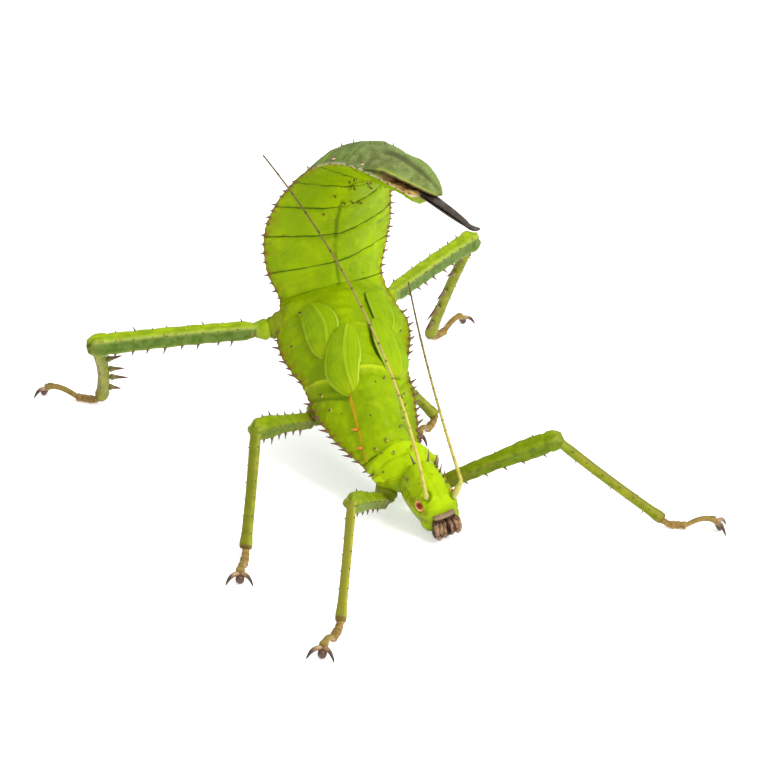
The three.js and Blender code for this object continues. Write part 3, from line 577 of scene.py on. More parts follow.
# No margin, joint, yellow fold or orange line is painted on the head and the neck.
NO_LINES = {"margin": 0.0, "seam": 0.5, "yellow": 0.0, "flank": 1.0}


def from_spot(points, spot):
    return np.linalg.norm(points - np.asarray(spot), axis=1)


def head_rule(turn, t):
    at = -0.5 + (HEAD_LENGTH + 0.7) * t
    close = end_close(t, 0.14, 0.10)
    c, s = np.cos(turn), np.sin(turn)
    arch = np.clip(1 - np.abs(c) ** 2.2, 0, 1) ** 0.6
    height = np.where(s >= 0, head_top(at), -head_under(at)) * arch * close
    slope = np.where(s >= 0, 1 - 0.16 * arch, 1 + 0.10 * arch)
    width = head_half(at) * c * close * slope
    points = in_head(at, width, height)
    out = HEAD_WAYS[1] * (c * 0.9)[:, None] + HEAD_WAYS[2] * s[:, None]
    out /= np.linalg.norm(out, axis=1, keepdims=True)
    upper = np.clip(s, 0, 1) ** 0.5
    side = np.abs(c)
    grow = 0.18 * gauss(np.abs(c), 0.42, 0.25) * upper - 0.12 * gauss(c, 0, 0.06) * upper
    grow -= 0.22 * gauss(height, 1.0, 0.5) * side**2 * ease(at, 1.0, 3.0)
    grow += 0.30 * gauss(height, -2.8, 1.3) * gauss(at, 8.4, 1.5) * side
    grow -= 0.25 * gauss(at + height * 0.35, 6.3, 0.35) * side**3 * ease(-height, 0.2, 1.5)
    grow += 0.22 * gauss(at, 0.5, 0.5) * upper
    crease = np.zeros_like(at)
    for hand in SIDES.values():
        eye = in_head(EYE["at"], hand * EYE["across"], EYE["height"])
        away = from_spot(points, eye)
        grow += 0.34 * gauss(away, 1.5, 0.28) - 0.5 * gauss(away, 0.4, 0.9)
    for root in FEELER_ROOTS.values():
        away = from_spot(points, in_head(*root))
        grow += 0.35 * gauss(away, 1.25, 0.25) - 0.3 * gauss(away, 0.2, 0.7)
    # A lobe of the cheek lies against the jaws; a crease runs round it, darkened with painted shade.
    for hand in SIDES.values():
        away = from_spot(points, in_head(9.3, hand * 2.9, -2.6))
        grow += 0.26 * ease(1.5 - away, 0, 0.8) - 0.20 * gauss(away, 1.75, 0.25)
        crease = most(crease, 0.8 * gauss(away, 1.7, 0.22))
    # Painted shade: the sides of the head below the crown are darker.
    crease = most(crease, 0.36 * ease(1.9 - height, 0, 0.8))
    grow += 0.03 * noise(points, 2.4, 11)
    points = points + out * (grow * close)[:, None]
    back = ease(height, -4.0, -1.5)
    return points, {"at": 50.0, "across": c * close, "back": back, "shade": crease, **NO_LINES}


head = tube("head_skin", 84, 72, head_rule)


def neck_rule(turn, t):
    """The soft collar between the neck plate and the head."""
    start, end = in_body(NECK - 2.0, 0, 0.3)[0], in_head(1.2, 0, -0.6)[0]
    middle = start + (end - start) * t[:, None]
    ring = 2.55 + 0.18 * np.cos(t * 26)
    ring = ring * end_close(t, 0.1, 0.1)
    points = middle + HEAD_WAYS[1] * (ring * np.cos(turn) * 1.05)[:, None]
    points = points + HEAD_WAYS[2] * (ring * np.sin(turn) * 1.15)[:, None]
    back = ease(np.sin(turn), -0.3, 0.3)
    return points, {"at": 47.0, "across": 0.3, "back": back, "shade": 0.0, **NO_LINES}


neck = tube("neck", 40, 24, neck_rule)
print("head", triangles(head), "neck", triangles(neck), "triangles")

# %% [markdown]
# ## Legs
# A leg is a hip joint, a thigh, a shin and a foot.  The hip and the two ways of the limbs give the
# knee and the ankle: the ankle always ends at its height over the ground.  Lengths are those of the
# solids, so each skin lies in the place of the solid it stands for.

# %% Leg measures
ANKLE_HEIGHT = 1.9
ABOVE_FLOOR = 0.02
PADS_END = 0.44  # the share of the foot that its four short joints take
FOOT_ARCH = 1.5  # how high the long last joint arches, and what share of a half circle it makes
ARCH_SHARE = 0.72
HIND = {"femur": 32.1, "tibia": 30.0, "foot": 12.0, "thigh": 1.7, "shin": 1.25, "coxa": 2.5}
MID = {"femur": 22.8, "tibia": 21.3, "foot": 9.6, "thigh": 1.5, "shin": 1.1, "coxa": 2.2}
FORE = {"femur": 24.0, "tibia": 23.5, "foot": 9.6, "thigh": 1.42, "shin": 0.95, "coxa": 1.9}
LEGS = {  # hip, where it leaves the body, way of the thigh and its climb, ways of shin and foot
    "right_hind": (HIND, (-21.4, 22.2, 22.3), 3.4, (190.8, -1.6), 94.6, 160),
    "left_hind": (HIND, (0.3, 30.3, 25.1), 3.4, (57.9, 3.9), 119.3, 56),
    "right_middle": (MID, (-13.2, 6, 10.8), 21.5, (245.6, 17.5), 264.4, 267),
    "left_middle": (MID, (5.6, 12.8, 11.8), 21.5, (119.2, 12.5), 348.8, 250),
    "right_fore": (FORE, (0.2, -12.6, 3.4), 43.5, (255.2, 23.6), 265.6, 254),
    "left_fore": (FORE, (9.3, -9.1, 4.8), 43.5, (346.2, 27.8), 353.3, 352.6),
}
UP = np.array([0.0, 0.0, 1.0])
THIGH_UPS = {1: np.array([0.0, 0.6, 0.8]), -1: np.array([-0.45, 0.4, 0.8])}


def reach(point, length, heading, rise):
    h, r = math.radians(heading), math.radians(rise)
    return point + length * np.array([math.cos(h) * math.cos(r), math.sin(h) * math.cos(r), math.sin(r)])


def unit(vector):
    return vector / np.linalg.norm(vector)


def frame_of(start, end, up):
    """Axis, side and lift of a limb, and its length."""
    axis = unit(end - start)
    side = unit(np.cross(axis, up))
    return axis, side, np.cross(side, axis), np.linalg.norm(end - start)


legs = {}
for name, (size, hip, root, thigh_way, shin_way, foot_way) in LEGS.items():
    hip = np.array(hip, float)
    knee = reach(hip, size["femur"], *thigh_way)
    dip = math.degrees(math.asin((knee[2] - ANKLE_HEIGHT) / size["tibia"]))
    ankle = reach(knee, size["tibia"], shin_way, -dip)
    toe = reach(ankle, size["foot"], foot_way, 0)
    hand = SIDES[name.split("_")[0]]
    socket = in_body(root, hand * half_at(root) * 0.5, -under_at(root) * 0.4)[0]
    pair = name.split("_")[1]
    legs[name] = {
        **size, "pair": pair, "is_hind": float(pair == "hind"), "hand": hand, "socket": socket,
        "hip": hip, "top": THIGH_UPS[hand], "knee": knee, "ankle": ankle, "toe": toe,
    }
    print(name, "knee", np.round(knee - MIDDLE, 1), "toe", np.round(toe - MIDDLE, 1))

# %% [markdown]
# ## Skin of the legs
# The thigh has a diamond section with a keel along each corner and ends at the knee in two pointed
# lobes.  The shin is thinner and bows a little.  The foot has four short joints with pads below and
# a long arched last joint.  One rule for each of these serves all six legs.

# %% Leg skin
KEEL = 0.28


def limb_points(start, end, up, turn, run, width, height, bow=0.0):
    axis, side, lift, length = frame_of(start, end, up)
    across = (width * np.cos(turn))[:, None] * side
    raised = (height * np.sin(turn) + bow)[:, None] * lift
    return start + axis * (run * length)[:, None] + across + raised


def diamond(turn, keel, sharp):
    """How far a section with four keels stands out at each turn."""
    corner = np.abs(np.cos(2 * turn))
    return 1 + keel * (corner**1.3 - 0.5) + sharp * corner**14


def coxa_of(leg):
    def rule(turn, t):
        run = -0.1 + 1.2 * t
        ring = leg["coxa"] * end_close(t, 0.2, 0.3) * (1 + 0.05 * np.cos(4 * turn))
        ring = ring * (1 - 0.14 * gauss(t, 0.78, 0.03) + 0.06 * gauss(t, 0.66, 0.06))
        points = limb_points(leg["socket"], leg["hip"], UP, turn, run, ring, ring)
        ridge = 0.6 * gauss(t, 0.72, 0.02) + 0.6 * gauss(t, 0.84, 0.02)
        return points, {"back": ease(np.sin(turn), -0.6, 0.6), "run": 0.3, "ridge": ridge, "hind": 0.0}
    return rule


def thigh_half(leg, t):
    flare = 0.16 * np.clip(1 - np.abs(t - 0.95) / 0.1, 0, 1)
    swell = 0.0 if leg["is_hind"] else 0.22 * gauss(t, 0.78, 0.16) - 0.06
    return leg["thigh"] * (0.88 + 0.1 * t + flare + swell)


def femur_of(leg):
    def rule(turn, t):
        run = -0.03 + 1.06 * t
        close = end_close(t, 0.05, 0.035)
        corner = np.abs(np.cos(2 * turn))
        hind = leg["is_hind"]
        square = ease(t, 0.08, 0.14) if hind else 1.0
        stand = 1 + (diamond(turn, KEEL, 0.07) - 1) * square
        collar = 0.02 + 0.09 * hind  # where the ring folds end and the thigh proper begins
        waist = 1 - 0.18 * gauss(t, collar, 0.01) - 0.14 * gauss(t, collar + 0.025, 0.008)
        waist = waist + 0.34 * hind * gauss(t, 0.045, 0.035) - 0.10 * gauss(t, 0.90, 0.012)
        half = thigh_half(leg, run) * stand * close * waist
        half = half * (1 + 0.03 * np.sin(run * 46 + np.sin(run * 17)) * corner)
        lobe = gauss(t, 0.985, 0.03) * np.abs(np.sin(2 * turn + 0.4)) ** 4
        run = run + 0.030 * lobe
        bow = 0.25 * np.sin(math.pi * run)
        points = limb_points(leg["hip"], leg["knee"], leg["top"], turn, run, half * 0.88, half, bow)
        knob = hind * (1 - ease(t, 0.085, 0.105))
        keel = corner**18 * (1 - knob)
        rings = gauss(t, collar + 0.012, 0.006) + gauss(t, collar - 0.012, 0.004) * hind
        back = most(ease(np.sin(turn), -0.08, 0.12), 0.8 * knob)
        return points, {"back": back, "run": t, "ridge": most(keel, np.clip(rings, 0, 1)), "hind": hind}
    return rule


def shin_bow(leg):
    return 0.8 if leg["is_hind"] else 0.2


def tibia_of(leg):
    def rule(turn, t):
        run = -0.03 + 1.05 * t
        close = end_close(t, 0.035, 0.02)
        half = leg["shin"] * (1 + 0.22 * gauss(t, 0.035, 0.03) + 0.16 * gauss(t, 0.95, 0.05)
                              - 0.08 * gauss(t, 0.10, 0.03) - 0.06 * np.sin(math.pi * t))
        ridge = np.abs(np.cos(1.5 * turn + 0.3)) ** 6
        half = half * close * (0.93 + 0.14 * ridge)
        bow = shin_bow(leg) * np.sin(math.pi * np.clip(run, 0, 1))
        inward = leg["hip"] - leg["knee"]
        points = limb_points(leg["knee"], leg["ankle"], inward, turn, run, half * 0.9, half, bow)
        pale = float(leg["pair"] == "fore" and leg["hand"] > 0)
        return points, {"back": pale, "run": t, "rise": np.sin(turn), "ridge": ridge, "hind": leg["is_hind"]}
    return rule


def foot_centre(t):
    """Height of the foot's middle: down from the ankle, flat on its pads, then a raised last joint."""
    arch = np.where(t < PADS_END, 0, np.sin(ARCH_SHARE * math.pi * (t - PADS_END) / (1 - PADS_END)))
    return 0.85 + FOOT_ARCH * arch + 0.75 * (1 - ease(t, -0.02, 0.16))


def foot_of(leg):
    def rule(turn, t):
        run = -0.06 + 1.06 * t
        joint = np.clip(run / PADS_END, 0, 1) * 4
        pads = 0.74 + 0.20 * np.clip(joint % 1, 0, 1) ** 1.5 * ease(run, 0.0, 0.2)
        last = 0.66 + 0.34 * ease(run, 0.84, 0.99) - 0.10 * gauss(run, PADS_END, 0.02)
        slim = 0.86 if leg["is_hind"] else 0.78
        girth = slim * np.where(run < PADS_END, pads, last) * end_close(t, 0.05, 0.05)
        low = np.where((np.sin(turn) < 0) & (run < PADS_END), 1.2, 0.95)
        centre = foot_centre(np.clip(run, 0, 1)) + girth * np.sin(turn) * low
        way = unit(leg["toe"] - leg["ankle"])
        aside = unit(np.cross(way, UP))
        length = np.linalg.norm(leg["toe"] - leg["ankle"])
        points = leg["ankle"] * [1, 1, 0] + way * (run * length)[:, None]
        points = points + aside * (girth * np.cos(turn) * 1.1)[:, None]
        # Each short joint ends below in a small flat pad on the ground.
        points[:, 2] = np.maximum(centre, ABOVE_FLOOR)
        ridge = gauss(joint % 1, 0.0, 0.12) * (run < PADS_END)
        return points, {"run": run, "rise": np.sin(turn), "ridge": ridge}
    return rule


LIMBS = [  # name, points around and along, rule
    ("coxa", 24, 14, coxa_of), ("thigh", 36, 84, femur_of), ("shin", 16, 64, tibia_of),
    ("foot", 16, 54, foot_of),
]
leg_skins = {}
for name, leg in legs.items():
    leg_skins[name] = [tube(limb, around, along, rule(leg)) for limb, around, along, rule in LIMBS]
print("legs", sum(triangles(*pieces) for pieces in leg_skins.values()), "triangles")

# %% [markdown]
# ## Thorns
# The animal bristles with thorns: a saw along each margin, rows on the back, crown and limbs.  One
# thorn is modelled, a cone with a wide foot and hollow sides that leans over towards its tip, and
# copied with its own mesh each time.  The value named tip darkens its point later.

# %% One thorn
def thorn_rule(turn, t):
    ring = (1 - t) ** 0.85 * (1 - 0.30 * np.sin(math.pi * t)) + 0.55 * gauss(t, 0, 0.13)
    ring = ring * np.clip(t * 40, 0, 1)  # the foot closes to a point
    points = np.stack([ring * np.cos(turn), ring * np.sin(turn), t], 1)
    return points + MIDDLE, {"tip": t}


pattern = tube("thorn", 7, 6, thorn_rule)
THORN = np.array([vertex.co for vertex in pattern.data.vertices]) / MM
THORN_SUNK = 0.35  # how far its foot lies in the skin
LEAN = 0.22  # how far its tip hangs over, as a share of its length
thorns = []


def thorn(foot, way, length, radius, lean=UP, dark=0.0, ringed=0.0):
    """A copy of the thorn that grows at foot along way and leans over towards lean."""
    way = unit(way)
    over = lean - way * (lean @ way)
    over = unit(over) if np.linalg.norm(over) > 1e-6 else unit(np.cross(way, [1, 0, 0]))
    third = np.cross(way, over)
    x, y, z = THORN.T
    along = z * (length + THORN_SUNK) - THORN_SUNK
    points = foot + np.outer(along, way) + np.outer(x * radius + LEAN * length * z**2, over)
    points = points + np.outer(y * radius, third)
    made = bpy.data.objects.new("thorn", pattern.data.copy())
    bpy.context.scene.collection.objects.link(made)
    made.data.vertices.foreach_set("co", ((points - MIDDLE) * MM).ravel())
    for key, value in (("dark", dark), ("ringed", ringed)):
        set_attribute(made.data, key, np.full(len(points), value))
    thorns.append(made)


print("a thorn has", triangles(pattern), "triangles")

# %% [markdown]
# ## Where the thorns stand
# The rows run where the solids have theirs, with more thorns in them, each a little different in
# length, because no two thorns of an animal are alike.  The differences come from one seeded
# generator, so that every run gives the same animal.

# %% Thorns of the body
rng = np.random.default_rng(7)


def vary(value, share=0.15):
    return value * (1 + share * rng.uniform(-1, 1))


def margin_row(side, start, end, count, length, lean, dark):
    for i in range(count):
        at = start + (end - start) * (i + 0.5) / count
        _, (forward, right, _) = body(at)
        foot = in_body(at, side * (half_at(at) - 0.05), 0)[0]
        size = length * (1.0 if i % 2 == 0 else 0.72)
        way = right[0] * side - forward[0] * lean
        thorn(foot, way, vary(size, 0.12), 0.34 + 0.12 * size, -forward[0], dark)


for side in SIDES.values():
    for i in range(8):
        rear, front_edge = SEGMENT_ENDS[i + 1] + 0.3, SEGMENT_ENDS[i] - 0.3
        margin_row(side, rear, front_edge, 4, 1.15 if i < 4 else 0.6, -0.2, 0.9 if i < 4 else 0.2)
    margin_row(side, 6.0, META_FRONT - 0.5, 8, 1.6, 0.25, 0.95)
    margin_row(side, 23.5, MESO_FRONT - 0.5, 10, 1.75, 0.25, 0.95)
    margin_row(side, 41, NECK - 1, 4, 1.2, 0.0, 0.95)

# A ringed thorn sits on a pale ring (1), is a breathing hole with a pale rim (2) or is orange (3).
BACK_THORNS = [  # distance from the waist, u, length
    (-29.9, 0.30, 1.0), (-23.1, 0.28, 1.2), (-17.9, 0.31, 0.9), (-27.4, 0.06, 1.1),
    (-21.4, 0.05, 1.0), (-21.9, -0.07, 1.2), (-21.1, -0.26, 1.3), (-26.6, -0.34, 1.2),
    (-32.3, 0.36, 0.8), (-33.0, 0.04, 0.8), (-36.5, 0.3, 0.7), (-37, -0.1, 0.7),
    (28.1, -0.14, 0.9), (26.9, -0.35, 0.9), (34.1, 0.20, 0.6), (40.1, 0.53, 0.6),
    (31.9, -0.66, 0.9), (37.6, -0.35, 0.9), (40.4, 0.18, 0.8), (42.9, 0.49, 0.8),
    (29.0, -0.72, 0.8), (34.9, -0.56, 0.8),
    (24.8, 0.78, 0.7), (44.8, 0.30, 0.5), (45.6, -0.2, 0.5),
]
RINGED = [(5.9, 0.65), (3.4, -0.72), (12.1, 0.83), (28.1, 0.78), (13.0, -0.84), (34.1, 0.2), (45.4, 0.84)]
ORANGE_THORNS = [(34.6, 0.575), (37.9, 0.735)]
FINE_THORNS = 60
for at, u, length in BACK_THORNS:
    foot, out = on_back(at, u)
    rearward = -body(at)[1][0][0]
    sideways = body(at)[1][1][0] * (1 if u > 0.3 else 0)
    thorn(foot + out * 0.22, out + rearward * 0.5, vary(length * 1.1), 0.42, rearward + sideways)
for at, u in RINGED:
    foot, out = on_back(at, u)
    thorn(foot + out * 0.12, out, 0.5, 0.60, ringed=1.0)
for at, u in ORANGE_THORNS:
    foot, out = on_back(at, u)
    rearward = -body(at)[1][0][0]
    thorn(foot + out * 0.55, out * 0.6 + body(at)[1][1][0], 1.5, 0.45, rearward, ringed=3.0)
for _ in range(FINE_THORNS):
    at, u = rng.uniform(-34, 46), rng.uniform(-0.85, 0.85)
    if 3 < at < 28 and abs(u) < 0.8:
        continue
    foot, out = on_back(at, u)
    thorn(foot + out * 0.12, out, 0.22, 0.2)

CROWN = {  # side: distance from the neck, u, length
    "right": [(0.3, 0.12, 2.4), (2.5, 0.74, 1.2), (4.6, 0.35, 0.35), (5.3, 0.45, 0.35)],
    "left": [(0.5, 0.55, 2.1), (1.4, 0.74, 2.1), (2.6, 0.68, 1.8), (3.7, 0.70, 1.6), (4.7, 0.76, 1.3),
             (5.8, 0.80, 1.0), (7.1, 0.88, 0.4)],
}
for name, side in SIDES.items():
    for at, u, length in CROWN[name]:
        arch = (1 - u**2.2) ** 0.6
        foot = in_head(at, side * u * head_half(at), head_top(at) * arch)[0]
        way = HEAD_WAYS[2] * 0.8 + HEAD_WAYS[1] * side * u - HEAD_WAYS[0] * 0.5
        thorn(foot, way, length, 0.24 + 0.07 * length, -HEAD_WAYS[0], 0.85)
UNDER_THORNS = [(-30.3, 0.15, 0.7), (-30.6, 0.5, 0.5), (-35.8, 0.4, 0.7), (-36.6, 0.05, 0.8),
                (-36.2, -0.3, 0.7), (-31.0, -0.35, 0.6), (-25.0, 0.3, 0.5)]
BREATHING_HOLES = [(-26.5, 0.95), (-32.2, 0.94), (-38.0, 0.92)]


def on_belly(at, u):
    """A spot on the underside and the direction that stands out of it."""
    here = in_body(at, half_at(at) * u, -under_at(at) * (1 - abs(u) ** 2.2) ** 0.8)[0]
    _, (_, right, up) = body(at)
    return here, unit(right[0] * u * 0.6 - up[0])


for at, u, length in UNDER_THORNS:
    foot, out = on_belly(at, u)
    thorn(foot + out * 0.3, out, length, 0.26, -body(at)[1][0][0], 0.5)
for side in SIDES.values():
    for at, u in BREATHING_HOLES:
        foot, out = on_belly(at, side * u)
        thorn(foot + out * 0.25, out, 0.4, 0.55, ringed=2.0)
print("body thorns", len(thorns))

# %% [markdown]
# ## Thorns of the legs
# Each keel of a thigh carries a row.  The hind shins carry four long curved thorns on the side that
# faces the body, which the living animal closes on an attacker; the other shins have short ones.

# %% Thorns of the legs
def limb_row(start, end, up, turn, half, places, length, lean=0.25, bow=0.0, dark=0.3, radius=None, fan=0):
    """Thorns along a limb.  With fan, those near its start lean back and those near its end on."""
    axis, side, lift, _ = frame_of(start, end, up)
    way = side * math.cos(turn) + lift * math.sin(turn)
    for i, t in enumerate(places):
        t = t + rng.uniform(-0.015, 0.015)
        rise = bow * math.sin(math.pi * t) * lift
        foot = start + (end - start) * t + way * (float(half(t)) * 0.97 - 0.05) + rise
        size = vary(length * (1 if i % 2 == 0 else 0.7), 0.2)
        slant = axis * (lean + fan * (t - 0.5))
        thorn(foot, way + slant, size, radius or 0.24 + 0.10 * size, slant if fan else axis, dark)


def spread(count, start, end):
    return [start + (end - start) * (i + 0.5) / count for i in range(count)]


THIGH_ROWS = {"hind": (8, 1.15), "middle": (6, 1.15), "fore": (5, 0.75)}  # thorns in a row, length
SHORT_ROW = {"length": 0.9}
LONG_ROW = {"length": 3.7, "lean": 0.1, "dark": 0.75, "radius": 0.85, "fan": 1.3}
for leg in legs.values():
    count, long = THIGH_ROWS[leg["pair"]]

    def keel_half(t, leg=leg):
        return thigh_half(leg, t) * (1 + KEEL * 0.5 + 0.07)

    for turn in (math.pi / 2, -math.pi / 2):
        places = spread(count, 0.10, 0.93) if turn > 0 else spread(count, 0.16, 0.94)
        limb_row(leg["hip"], leg["knee"], leg["top"], turn, keel_half, places, long, dark=0.9, radius=0.40)
    for turn in (0, math.pi):
        def side_half(t, keel_half=keel_half):
            return keel_half(t) * 0.88
        limb_row(leg["hip"], leg["knee"], leg["top"], turn, side_half, spread(count, 0.14, 0.92), 0.55)

    inward = leg["hip"] - leg["knee"]

    def shin_half(t, leg=leg):
        return leg["shin"] * 1.02

    places = spread(4, 0.2, 0.92) if leg["is_hind"] else spread(5, 0.15, 0.93)
    row = LONG_ROW if leg["is_hind"] else SHORT_ROW
    ends = (leg["knee"], leg["ankle"], inward)
    limb_row(*ends, math.pi / 2, shin_half, places, bow=shin_bow(leg), **row)
    for turn in (-0.5, math.pi + 0.5):
        limb_row(*ends, turn, lambda t, leg=leg: leg["shin"] * 0.92, spread(6, 0.08, 0.95), 0.5,
                 bow=shin_bow(leg), dark=0.5)
print("thorns", len(thorns), "triangles", sum(triangles(t) for t in thorns))


# %% [markdown]
# ## Wing pads
# The animal is not quite adult: its wings are four leaf-shaped pads that lie back over the thorax.
# Each is a thin closed leaf with raised veins that fan out from its root.  The veins are lines at a
# fixed share of the width, so they spread and close with the leaf.

# %% Wing pads
PAD_THICK = 0.6
PADS = {  # root and tip as distance from the waist and u, bend, half width, lift over other pads
    "tegmen_pad_right": ((28.4, 0.32), (14.8, 0.02), 0.07, 2.8, 0.75),
    "tegmen_pad_left": ((25.2, -0.67), (13.2, -0.43), -0.07, 2.8, 0.75),
    "hind_wing_pad_right": ((18.5, 0.46), (5.8, 0.46), -0.12, 3.0, 0.0),
    "hind_wing_pad_left": ((15.4, -0.62), (4.0, -0.52), -0.07, 2.7, 0.0),
}


def on_back_rows(at, u):
    here = in_body(at, half_at(at) * u, back_height(at, u))
    beside = in_body(at, half_at(at) * (u + 0.01), back_height(at, u + 0.01))
    across = beside - here
    out = np.cross(across, body(at)[1][0])
    out *= np.sign(np.sum(out * body(at)[1][2], axis=1, keepdims=True))
    return here, out / np.linalg.norm(out, axis=1, keepdims=True)


def pad_of(root, tip, bend, half, lift, hand):
    def rule(turn, t):
        at = root[0] + (tip[0] - root[0]) * t
        middle = root[1] + (tip[1] - root[1]) * t
        middle = middle + bend * np.sin(math.pi * t)
        wide = half * (0.12 + 0.98 * (np.sin(math.pi * (0.02 + 0.93 * t**0.9)) ** 0.62 - 0.1))
        v = np.sign(np.cos(turn)) * np.abs(np.cos(turn)) ** 0.6
        close = end_close(t, 0.02, 0.03)
        u = middle + v * wide * close / half_at(at)
        here, out = on_back_rows(at, u)
        over = np.sin(turn) > 0
        face = np.abs(np.sin(turn)) ** 0.5
        veins = sum(gauss(v, spot + 0.10 * np.sin(math.pi * t), 0.035 + 0.03 * strong) * strong
                    for spot, strong in PAD_VEINS)
        crown = 0.30 * (1 - np.abs(v) ** 2.5)
        # A raised rim on the outer side, and a flat middle between fine ribs.
        rim = 0.16 * gauss(np.abs(v), 0.93, 0.06)
        ribs = 0.035 * np.sin(v * 58)
        upper = PAD_THICK * 0.5 + crown + rim + 0.20 * veins + ribs * (1 - np.abs(v))
        lower = -PAD_THICK * 0.5
        height = np.where(over, upper * face, lower * face) * close + 0.15 * (1 - close)
        height = height + 0.28 + PAD_THICK / 2 + lift * np.minimum(1, t * 2.5)
        height = height - 0.55 * (1 - ease(t, 0.0, 0.25))
        points = here + out * height[:, None]
        return points, {"run": t, "across": v * hand, "vein": np.clip(veins, 0, 1) * over,
                        "rim": gauss(np.abs(v), 0.97, 0.05)}
    return rule


PAD_VEINS = [(-0.62, 0.35), (-0.36, 1.0), (-0.12, 0.35), (0.12, 0.5), (0.34, 0.35), (0.58, 0.3),
             (-0.84, 0.3), (0.80, 0.25)]
pads = {}
for name, (root, tip, bend, half, lift) in PADS.items():
    hand = SIDES[name.split("_")[-1]]
    pads[name] = tube(name.replace("pad", "leaf"), 96, 64, pad_of(root, tip, bend, half, lift, hand))
print("pads", triangles(*pads.values()), "triangles")

# %% [markdown]
# ## Tail end
# Behind the sixth segment the tail parts in two: thin back plates above, and below a boat-shaped
# plate with a keel, between which lies the horn beak that drills eggs into the ground.  The belly
# plate turns its outer face to the sky here, since the tail end is curled over.

# %% Belly plate and beak
BELLY_PLATE = [  # from its root, half width, depth
    (0.0, 7.2, 3.0), (5.0, 6.9, 2.8), (10.0, 5.2, 2.3), (14.0, 2.8, 1.7), (16.6, 0.8, 0.7),
]
PLATE_LENGTH = 16.6
PLATE_LIFT = -1.75
plate_half, plate_under = columns(BELLY_PLATE)


def belly_plate_rule(turn, t):
    back = PLATE_LENGTH * t
    at = TAIL_ROOT + 0.6 - back
    close = end_close(t, 0.02, 0.03)
    c, s = np.cos(turn), np.sin(turn)
    parted = ease(back, 3.0, 8.5)
    half = plate_half(back) * parted + (half_at(at) * 0.985 + 0.1) * (1 - parted)
    under = plate_under(back) * parted + (under_at(at) + 0.35) * (1 - parted)
    bowl = -under * np.clip(1 - np.abs(c) ** 2.2, 0, 1) ** 0.8
    hollow = 0.3 - 0.75 * under * np.clip(1 - np.abs(c / 0.86) ** 2.0, 0, 1) * ease(back, 3, 9)
    height = np.where(s > 0, hollow, bowl)
    keel = gauss(c, 0, 0.07) * (s < 0) * ease(t, 0.08, 0.3)
    teeth = 0.5 + 0.5 * np.abs(((back * 1.3) % 1) - 0.5) * 2
    height = height - 0.42 * keel * teeth
    height = height + 0.20 * gauss(np.abs(c), 0.30, 0.12) * (s < 0)
    width = half * c * (1 + 0.02 * np.sin(back * 3))
    height = np.where(s > 0, height * parted - 0.5 * under * (1 - parted) * s, height)
    height = height - 0.12 * (1 - parted)
    points = in_body(at, width * close, PLATE_LIFT * parted + height * close)
    outer = most(ease(-s, -0.05, 0.15), 1 - parted)
    return points, {"run": t, "across": c, "outer": outer, "keel": keel, "rim": gauss(s, 0.0, 0.25)}


BEAK_START, BEAK_LENGTH = TAIL_ROOT - 3, 23.0


def beak_rule(turn, t):
    at = BEAK_START - BEAK_LENGTH * t
    share = 1 - t
    close = end_close(t, 0.02, 0.02)
    half = 0.62 + 2.1 * share**1.25 + 0.50 * gauss(t, 0.985, 0.045)
    c, s = np.cos(turn), np.sin(turn)
    lift = -0.8 + 1.1 * share
    thick = 0.40 + 0.30 * ease(share, 0.02, 0.3)
    # The upper blade ends in a small hook, with a notch before it on the underside.
    notch = 0.14 * gauss(t, 0.90, 0.025) * (s < 0)
    groove = 0.14 * gauss(c, 0, 0.12) * (s > 0) + 0.10 * gauss(np.abs(c), 0.75, 0.10)
    height = s * np.abs(s) ** -0.15 * (thick + 0.1 * np.sin(math.pi * t)) - np.sign(s) * (groove + notch)
    hook = -0.35 * ease(t, 0.93, 1.0)
    points = in_body(at, half * c * close, lift + height * close + hook)
    return points, {"run": t}


belly_plate = tube("keel_plate", 96, 96, belly_plate_rule)
beak = tube("beak", 48, 96, beak_rule)
print("plate", triangles(belly_plate), "beak", triangles(beak), "triangles")

# %% [markdown]
# ## Eyes
# An insect's eye is a dome of thousands of lenses, too small to see one by one.  It is a smooth
# swollen bean here, set in the rim of the head, and its pattern is painted by place: a red-brown
# middle inside an orange ring.

# %% Eyes
eyes = []
for side, hand in SIDES.items():
    def eye_rule(turn, t, hand=hand):
        polar = t * math.pi
        out, ring = np.cos(polar), np.sin(polar)
        r = EYE["radius"]
        facing = unit(np.array([0.45, hand * 0.70, 0.56]))
        long_way = unit(np.cross(facing, [0.0, 0.6 * hand, -1.0]))
        short_way = np.cross(facing, long_way)
        local = np.outer(out * r, facing) + np.outer(ring * np.cos(turn) * r * 1.10, long_way)
        local = local + np.outer(ring * np.sin(turn) * r * 0.94, short_way)
        local = local + [EYE["at"], hand * EYE["across"], EYE["height"]]
        return in_head(*local.T), {"look": out}
    eyes.append(tube(f"eye_dome_{side}", 48, 32, eye_rule))
print("eyes", triangles(*eyes), "triangles")

# %% [markdown]
# ## Jaws and palps
# In front of the head hang the upper lip, a pair of jaws, the lower lip and six jointed palps with
# which the animal tastes its food.  Each is a tube; the palps swell at their joints like beads.

# %% Mouth
FRONT = HEAD_LENGTH + 0.3


def soft_box(at, across, height, size, lip):
    """A rounded, slightly squared lump of the mouth."""
    def rule(turn, t):
        close = end_close(t, 0.35, 0.35)
        c, s = np.cos(turn), np.sin(turn)
        square = (np.abs(c) ** 3 + np.abs(s) ** 3) ** (-1 / 3)
        points = in_head(at + size[0] * t, across + size[1] * c * square * close,
                         height + size[2] * s * square * close)
        return points, {"joint": float(not lip), "lip": float(lip)}
    return rule


PALPS = [  # across and height of the root, height and across of the tip, thickness, joints, bow
    (1.9, -0.3, -4.3, 1.7, 0.44, 3, 0.6), (1.3, -0.5, -3.6, 0.5, 0.38, 2, 1.0),
    (0.5, -0.6, -4.2, 0.6, 0.40, 3, 0.5),
]


